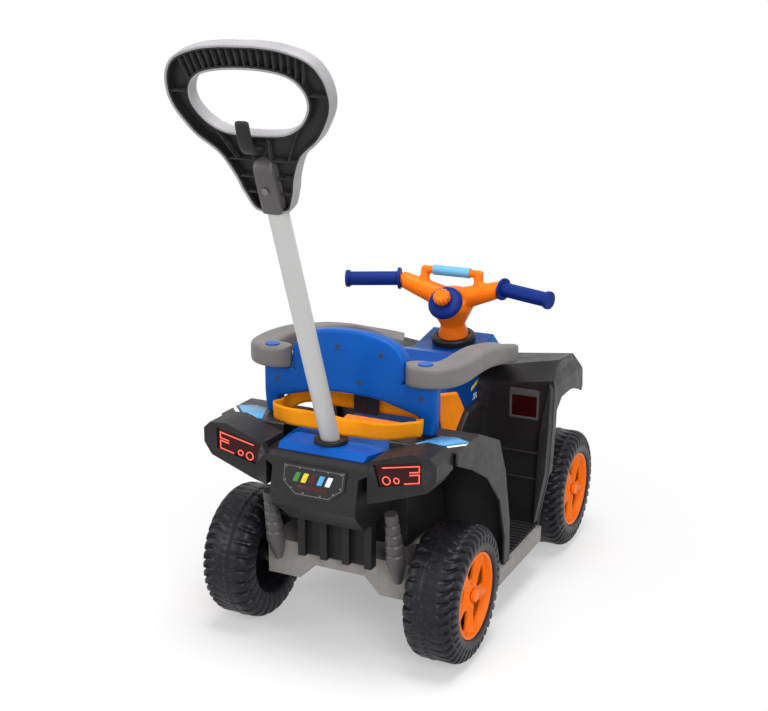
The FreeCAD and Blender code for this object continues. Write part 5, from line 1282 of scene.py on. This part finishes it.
@dataclass
class FrontTrim:
    """Lamp bezels, chin ribs and a raised bonnet panel on the front fairing."""

    sunk: float = 0.5
    rounding: float = 0.9
    lamp_at: Flat = (444.5, 239.75)
    lamp_lean_deg: float = 5.5
    bezel: Outline = ((18, -21.5), (66, -21.5), (66, 21.5), (18, 21.5))
    glass: Outline = ((21.6, -17.8), (62.4, -17.8), (62.4, 17.8), (21.6, 17.8))
    chin_at: Flat = (437.2, 174.0)
    chin_lean_deg: float = -20.6
    rib: Outline = ((-3.4, -20), (3.4, -20), (3.4, 20), (-3.4, 20))
    ribs: tuple[float, ...] = (-55.0, -33.0, -11.0, 11.0, 33.0, 55.0)
    bonnet_at: Flat = (419.0, 294.0)
    bonnet_lean_deg: float = 42.5
    bonnet: Outline = ((48, -30), (58, -8), (40, 27))
    vent: Outline = ((-24, 0), (24, 0), (24, 4.5), (-24, 4.5))
    vents: tuple[float, ...] = (-12.0, -1.0, 10.0)

    def laid(self, name: str, loops: Sequence[Sequence[Flat]], rise: float, at: Flat,
             lean_deg: float) -> Mesh:
        """A plate on a leaning face of the front.

        Args:
            name: the mesh's name.
            loops: its outline and holes.
            rise: how far it stands off the face.
            at: where the face is, along and up.
            lean_deg: how far the face leans.

        Returns:
            The plate's mesh.
        """
        mesh = plate(name, loops, -self.sunk, rise, self.rounding)
        mesh.transform(leaning((0, *at), lean_deg) @ Matrix.Rotation(math.pi, 4, "Z"))
        return mesh

    def build(self) -> None:
        """Makes the bezels, ribs and panel as one piece."""
        parts = []
        for side in Side:
            loops = [sided(side, soft_corners(loop, radius))
                     for loop, radius in ((self.bezel, 6), (self.glass, 2.5))]
            parts.append(self.laid("bezel", loops, 3.4, self.lamp_at, self.lamp_lean_deg))
        for x in self.ribs:
            rib = soft_corners([(x + u, v) for u, v in self.rib], 2)
            parts.append(self.laid("chin_rib", [rib], 2.4, self.chin_at, self.chin_lean_deg))
        slots = [soft_corners([(u, level + v) for u, v in self.vent], 2) for level in self.vents]
        panel = [soft_corners(mirrored(self.bonnet), 6), *slots]
        parts.append(self.laid("bonnet", panel, 2.2, self.bonnet_at, self.bonnet_lean_deg))
        put("front_fairing_trim", joined("front_fairing_trim", parts), "body", [DARK_PP])


@dataclass
class TailLamps:
    """The outlines and rings under the two tail lamp lenses, printed lines with a painted glow."""

    line: float = 1.7
    rise: float = 0.7
    bracket: Outline = ((105, 324.5), (161, 336), (161, 327.5), (147, 324.5))
    under: Outline = ((147, 320.5), (161, 323.5), (161, 311.5), (139, 306.5))
    rings: tuple[tuple[Flat, float], ...] = (((111, 306.5), 6.6), ((126.5, 309), 4.8))

    def build(self) -> None:
        """Makes both lamps' drawings as low raised lines."""
        face = -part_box("tail_lamps")[0].y / MM
        shapes = []
        for a, b in (*zip(self.bracket, self.bracket[1:]), *zip(self.under, self.under[1:])):
            shapes.append([strip(a, b, self.line, self.line / 2)])
        for (x, z), radius in self.rings:
            ring = circle(x, z, radius, 40)
            shapes.append([ring, inset(ring, self.line)])
        parts = [plate("lamp_line", [sided(side, loop) for loop in loops], face, face + self.rise, 0.2)
                 for side in Side for loops in shapes]
        put("tail_lamp_lines", joined("tail_lamp_lines", parts), "body", [LENS_LINE])


@dataclass
class RearPlate:
    """The border, studs and plain slanted bars on the glossy rear plate."""

    seat: Point = (0.0, -274.0, 261.6)
    lean_deg: float = -13.1
    face: float = 2.5
    film: float = 0.4
    edge: float = 3.4
    line: float = 0.9
    stud: float = 1.5
    stud_rise: float = 1.0
    outline: Outline = ((28, 3), (51, 21), (51, 49.4))
    studs: Outline = ((44.5, 44.5), (23, 44.8), (44.5, 24.5), (34, 14.5), (0, 44.8), (14, 9))
    bar: Outline = ((-7, 24), (1, 24), (6, 38), (-2, 38))
    bars: tuple[float, ...] = (-26.0, -13.0, 0.0, 13.0, 26.0)
    under_bar: Outline = ((-26, 15), (22, 15), (25, 19.5), (-23, 19.5))

    def build(self) -> None:
        """Makes the raised line, the studs and the bars as one print on the plate."""
        loop = inset(soft_corners(mirrored(self.outline), 3), self.edge)
        film = (self.face, self.face + self.film, 0.1)
        made = [(0, plate("plate_line", [loop, inset(loop, self.line)], *film))]
        for x, z in sorted({(side.value * x, z) for x, z in self.studs for side in Side}):
            ring = circle(x, z, self.stud, 16)
            made.append((0, plate("plate_stud", [ring], self.face, self.face + self.stud_rise, 0.35)))
        for kind, x in enumerate(self.bars, 1):
            bar = soft_corners([(x + u, v) for u, v in self.bar], 1.5)
            made.append((kind, plate("plate_bar", [bar], *film)))
        made.append((len(self.bars) + 1, plate("plate_under_bar", [self.under_bar], *film)))
        kinds, parts = zip(*made)
        put("rear_plate_print", joined("rear_plate_print", parts, kinds), "body",
            [GREY_PP, VINYL_GREEN, VINYL_YELLOW, VINYL_RED, VINYL_SKY, VINYL_WHITE, VINYL_RED],
            at=leaning(self.seat, self.lean_deg))


@dataclass
class Prints:
    """Printed bands and checks on tank and rear fenders, and the panels and steps of the leg shields."""

    tank_side: float = 72.0
    fender_top: float = 344.0
    film: float = 0.25
    film_edge: float = 0.05
    check: float = 3.6
    check_lean: float = 0.4
    check_at: Flat = (157.0, 300.0)
    tank_band: Outline = ((150, 318), (196, 330), (196, 336), (150, 324))
    tank_bands: tuple[tuple[int, float], ...] = ((1, 0.0), (2, 26.0), (3, 52.0))
    fender_bands: tuple[tuple[int, Outline], ...] = (
        (4, ((126, -198), (152, -202), (194, -158), (170, -146), (146, -150))),
        (0, ((158, -202), (166, -202), (194, -172), (194, -163))))
    knee_floor: float = -179.0
    knee: Outline = ((130.6, 274.6), (183.4, 274.6), (183.4, 327.4), (130.6, 327.4))
    knee_glass: Outline = ((135, 278.5), (179, 278.5), (179, 315), (135, 315))
    shield_face: float = -176.0
    step: Outline = ((108, 0), (192, 0), (192, 4), (108, 4))
    steps: tuple[float, ...] = (168.0, 214.0)

    def checks(self) -> list[list[Flat]]:
        """The leaning squares of the check pattern."""
        size, lean = self.check, self.check * self.check_lean
        made = []
        for row, column in ((r, c) for r in range(3) for c in range(5) if (r + c) % 2 == 0):
            u, v = self.check_at[0] + size * column + lean * row, self.check_at[1] + size * row
            made.append([(u, v), (u + size, v), (u + size + lean, v + size), (u + lean, v + size)])
        return made

    def build(self) -> None:
        """Lays the films, panels and steps on both sides."""
        made = []
        for side in Side:
            low, high = sorted((side.value * self.tank_side, side.value * (self.tank_side + self.film)))
            films = [("tank_check", 0, square) for square in self.checks()]
            films += [("tank_band", kind, [(y + shift, z) for y, z in self.tank_band])
                      for kind, shift in self.tank_bands]
            for name, kind, loop in films:
                made.append((kind, plate(name, [loop], low, high, self.film_edge, Plane.WHEEL)))
            for kind, band in self.fender_bands:
                made.append((kind, plate("fender_band", [sided(side, band)], self.fender_top,
                                         self.fender_top + self.film, self.film_edge, Plane.LEVEL)))
            panel = soft_corners(sided(side, self.knee), 4)
            glass = soft_corners(sided(side, self.knee_glass), 3)
            base, face = self.knee_floor, self.shield_face
            made.append((5, plate("knee_panel", [panel], base, base + 1.2, 0.4)))
            made.append((6, plate("knee_frame", [panel, glass], base, base + 2.6, 0.6)))
            for level in self.steps:
                step = sided(side, [(x, level + z) for x, z in self.step])
                made.append((7, plate("shield_step", [step], face - 0.3, face + 1.6, 0.7)))
        kinds, parts = zip(*made)
        put("printed_films", joined("printed_films", parts, kinds), "body",
            [VINYL_WHITE, VINYL_YELLOW, VINYL_GREEN, VINYL_BLACK, VINYL_SKY, RED_LENS, CHARCOAL_AND_LIT_BLACK_PP, BLACK_PP])


@dataclass
class BodyShell:
    """The moulded shells, frame and fittings whose CAD shapes stay, with a finish and edge radius each."""

    finishes: tuple[tuple[Moulding, float, tuple[str, ...]], ...] = (
        # The chassis frame takes a lighter copy of the grey as painted light from below.
        (LIT_GREY_PP, 0.0, ("chassis_frame",)),
        (ZINC_STEEL, 0.0, ("rear_axle", "kingpins", "steering_column", "handle_screw")),
        (POWDER_STEEL, 0.0, ("push_pole",)),
        (ORANGE_PP, 0.0, ("seat",)),
        (ORANGE_PP, 1.5, ("rear_axle_caps", "front_axle_cap_left", "front_axle_cap_right")),
        # The side panels take a lighter copy of the orange as painted light.
        (LIT_ORANGE_PP, 1.5, ("side_panel_left", "side_panel_right")),
        (TANK_PP, 3.0, ("tank",)),
        (BLUE_PP, 3.0, ("rear_deck",)),
        (BLUE_PP, 1.0, ("armrest_plugs",)),
        (BLACK_PP, 0.0, ("front_fender_left", "front_fender_right", "pole_socket")),
        (BLACK_PP, 0.6, ("rear_axle_bushes",)),
        (BLACK_PP, 1.2, ("belt_buckle", "steering_collar")),
        (BLACK_PP, 1.5, ("pole_collar",)),
        (BLACK_PP, 2.5, ("lower_cowl",)),
        (BLACK_PP, 3.0, ("front_fairing", "rear_fairing", "rear_fender_left", "rear_fender_right")),
        (DARK_PP, 0.8, ("foot_mats", "rear_grille")),
        (CHARCOAL_AND_LIT_BLACK_PP, 0.6, ("rear_damper_left", "rear_damper_right")),
        (GREY_PP, 1.0, ("knuckle_left", "knuckle_right", "tie_rod")),
        (NAVY_PVC, 1.0, ("grip_left", "grip_right")),
        (SKY_PVC, 2.0, ("crossbar_pad",)),
        (CLEAR_LENS, 0.6, ("headlamps",)),
        (RED_LENS, 0.5, ("tail_lamps",)),
        (PLATE_PS, 0.6, ("rear_plate",)))

    def soften(self, obj: bpy.types.Object, radius: float) -> None:
        """Rounds a node's hard edges as a mould does, through modifiers alone.

        Args:
            obj: the CAD node.
            radius: the edge radius.
        """
        weld = obj.modifiers.new("weld", "WELD")
        weld.merge_threshold = 0.02 * MM
        flats = obj.modifiers.new("flats", "DECIMATE")
        flats.decimate_type, flats.angle_limit = "DISSOLVE", math.radians(1.0)
        round_edge = obj.modifiers.new("edges", "BEVEL")
        round_edge.width, round_edge.segments = radius * MM, 3
        round_edge.limit_method, round_edge.angle_limit = "ANGLE", math.radians(28)
        round_edge.miter_outer = "MITER_ARC"
        even = obj.modifiers.new("shading", "WEIGHTED_NORMAL")
        even.keep_sharp = False

    def build(self) -> None:
        """Gives every node that stays its finish and its edges."""
        for finish, radius, names in self.finishes:
            for name in names:
                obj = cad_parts[name]
                obj.data.materials.clear()
                obj.data.materials.append(finish.material())
                if radius:
                    self.soften(obj, radius)
                LOG.info("%s: %s", name, finish.name)


@dataclass
class Studio:
    """A pale floor, a white background, soft lamps, and the camera at the photograph's view."""

    eye: Point = (833.96, -1772.1, 958.43)
    right: Point = (0.90040261, 0.43501786, 0.00588272)
    up: Point = (-0.12264967, 0.24084137, 0.96278372)
    look: Point = (-0.41741131, 0.86761449, -0.27020899)
    lens: float = 60.24
    floor_half: float = 6000.0
    floor_level: float = -0.3
    lit_point: Point = (0.0, 0.0, 300.0)
    lamps: tuple[tuple[str, Point, float, float], ...] = (
        ("top_lamp", (250, -300, 2700), 1500, 62),
        ("key_lamp", (1700, -2000, 1500), 1300, 40),
        ("fill_lamp", (-1800, -1700, 1200), 1300, 20))

    def camera(self) -> None:
        """Sets the camera."""
        data = bpy.data.cameras.new("view")
        data.sensor_width, data.sensor_fit, data.lens = 36.0, "HORIZONTAL", self.lens
        data.clip_start, data.clip_end = 0.05, 50.0
        cam = linked("view", data)
        turn = Matrix((self.right, self.up, tuple(-c for c in self.look))).transposed().to_4x4()
        cam.matrix_world = Matrix.Translation(Vector(self.eye) * MM) @ turn
        bpy.context.scene.camera = cam

    def lamp(self, name: str, at: Point, size: float, power: float) -> None:
        """Adds a soft lamp that faces the bike.

        Args:
            name: the lamp's name.
            at: where it hangs.
            size: its width.
            power: its power in watts.
        """
        data = bpy.data.lights.new(name, "AREA")
        data.shape, data.size, data.energy = "DISK", size * MM, power
        obj = linked(name, data)
        obj.location = Vector(at) * MM
        facing = (Vector(self.lit_point) - Vector(at)) * MM
        obj.rotation_euler = facing.to_track_quat("-Z", "Y").to_euler()

    def floor(self) -> None:
        """Lays the floor, grey under the bike and white further off."""
        half = self.floor_half
        corners = ((-half, -half), (half, -half), (half, half), (-half, half))
        mesh = mesh_from("floor", [(x, y, self.floor_level) for x, y in corners], [(0, 1, 2, 3)])
        made = bpy.data.materials.new("floor_paper")
        made.use_nodes = True
        tree = made.node_tree
        tree.nodes.clear()
        at = add_node(tree, "ShaderNodeTexCoord").outputs["Object"]
        at = add_node(tree, "ShaderNodeMapping", {"Scale": (1, 0.7, 1)}, {"Vector": at}).outputs["Vector"]
        far = add_node(tree, "ShaderNodeVectorMath", {"operation": "LENGTH"}, {0: at}).outputs["Value"]
        share = add_node(tree, "ShaderNodeMapRange", {"From Min": 0.18, "From Max": 0.66, "To Min": 0.36,
                                                      "interpolation_type": "SMOOTHSTEP"},
                         {"Value": far}).outputs["Result"]
        paper = add_node(tree, "ShaderNodeBsdfDiffuse", {"Color": linear("#e4e4e4")}).outputs["BSDF"]
        white = add_node(tree, "ShaderNodeEmission", {"Color": linear("#ffffff"), "Strength": 1.0})
        shown = add_node(tree, "ShaderNodeMixShader", {},
                         {0: share, 1: paper, 2: white.outputs["Emission"]}).outputs["Shader"]
        add_node(tree, "ShaderNodeOutputMaterial", {}, {"Surface": shown})
        mesh.materials.append(made)
        obj = linked("floor", mesh)

    def sky(self) -> None:
        """Sets a white background that lights the bike only softly."""
        world = bpy.data.worlds.new("studio")
        world.use_nodes = True
        tree = world.node_tree
        tree.nodes.clear()
        path = add_node(tree, "ShaderNodeLightPath")
        seen = path.outputs["Is Camera Ray"]
        for ray in ("Is Transmission Ray", "Is Glossy Ray"):
            seen = add_node(tree, "ShaderNodeMath", {"operation": "MAXIMUM"},
                            {0: seen, 1: path.outputs[ray]}).outputs["Value"]
        level = add_node(tree, "ShaderNodeMapRange", {"To Min": 0.34, "To Max": 1.0}, {"Value": seen})
        back = add_node(tree, "ShaderNodeBackground", {"Color": linear("#ffffff")},
                        {"Strength": level.outputs["Result"]}).outputs["Background"]
        add_node(tree, "ShaderNodeOutputWorld", {}, {"Surface": back})
        bpy.context.scene.world = world

    def build(self) -> None:
        """Makes the studio."""
        bpy.context.scene.view_settings.view_transform = "Standard"
        self.camera()
        self.floor()
        self.sky()
        for lamp in self.lamps:
            self.lamp(*lamp)
        LOG.info("studio ready")


def main() -> None:
    """Builds the bike's looks in order."""
    logging.basicConfig(level=logging.INFO, format="%(name)s %(message)s")
    for assembly in (Studio(), BodyShell(), Wheels(), PushHandle(), Handlebar(), Horn(), BackRest(),
                     ArmRests(), LapBelt(), Liners(), FrontTrim(), TailLamps(), RearPlate(), Prints()):
        assembly.build()


if __name__ == "__main__":
    main()
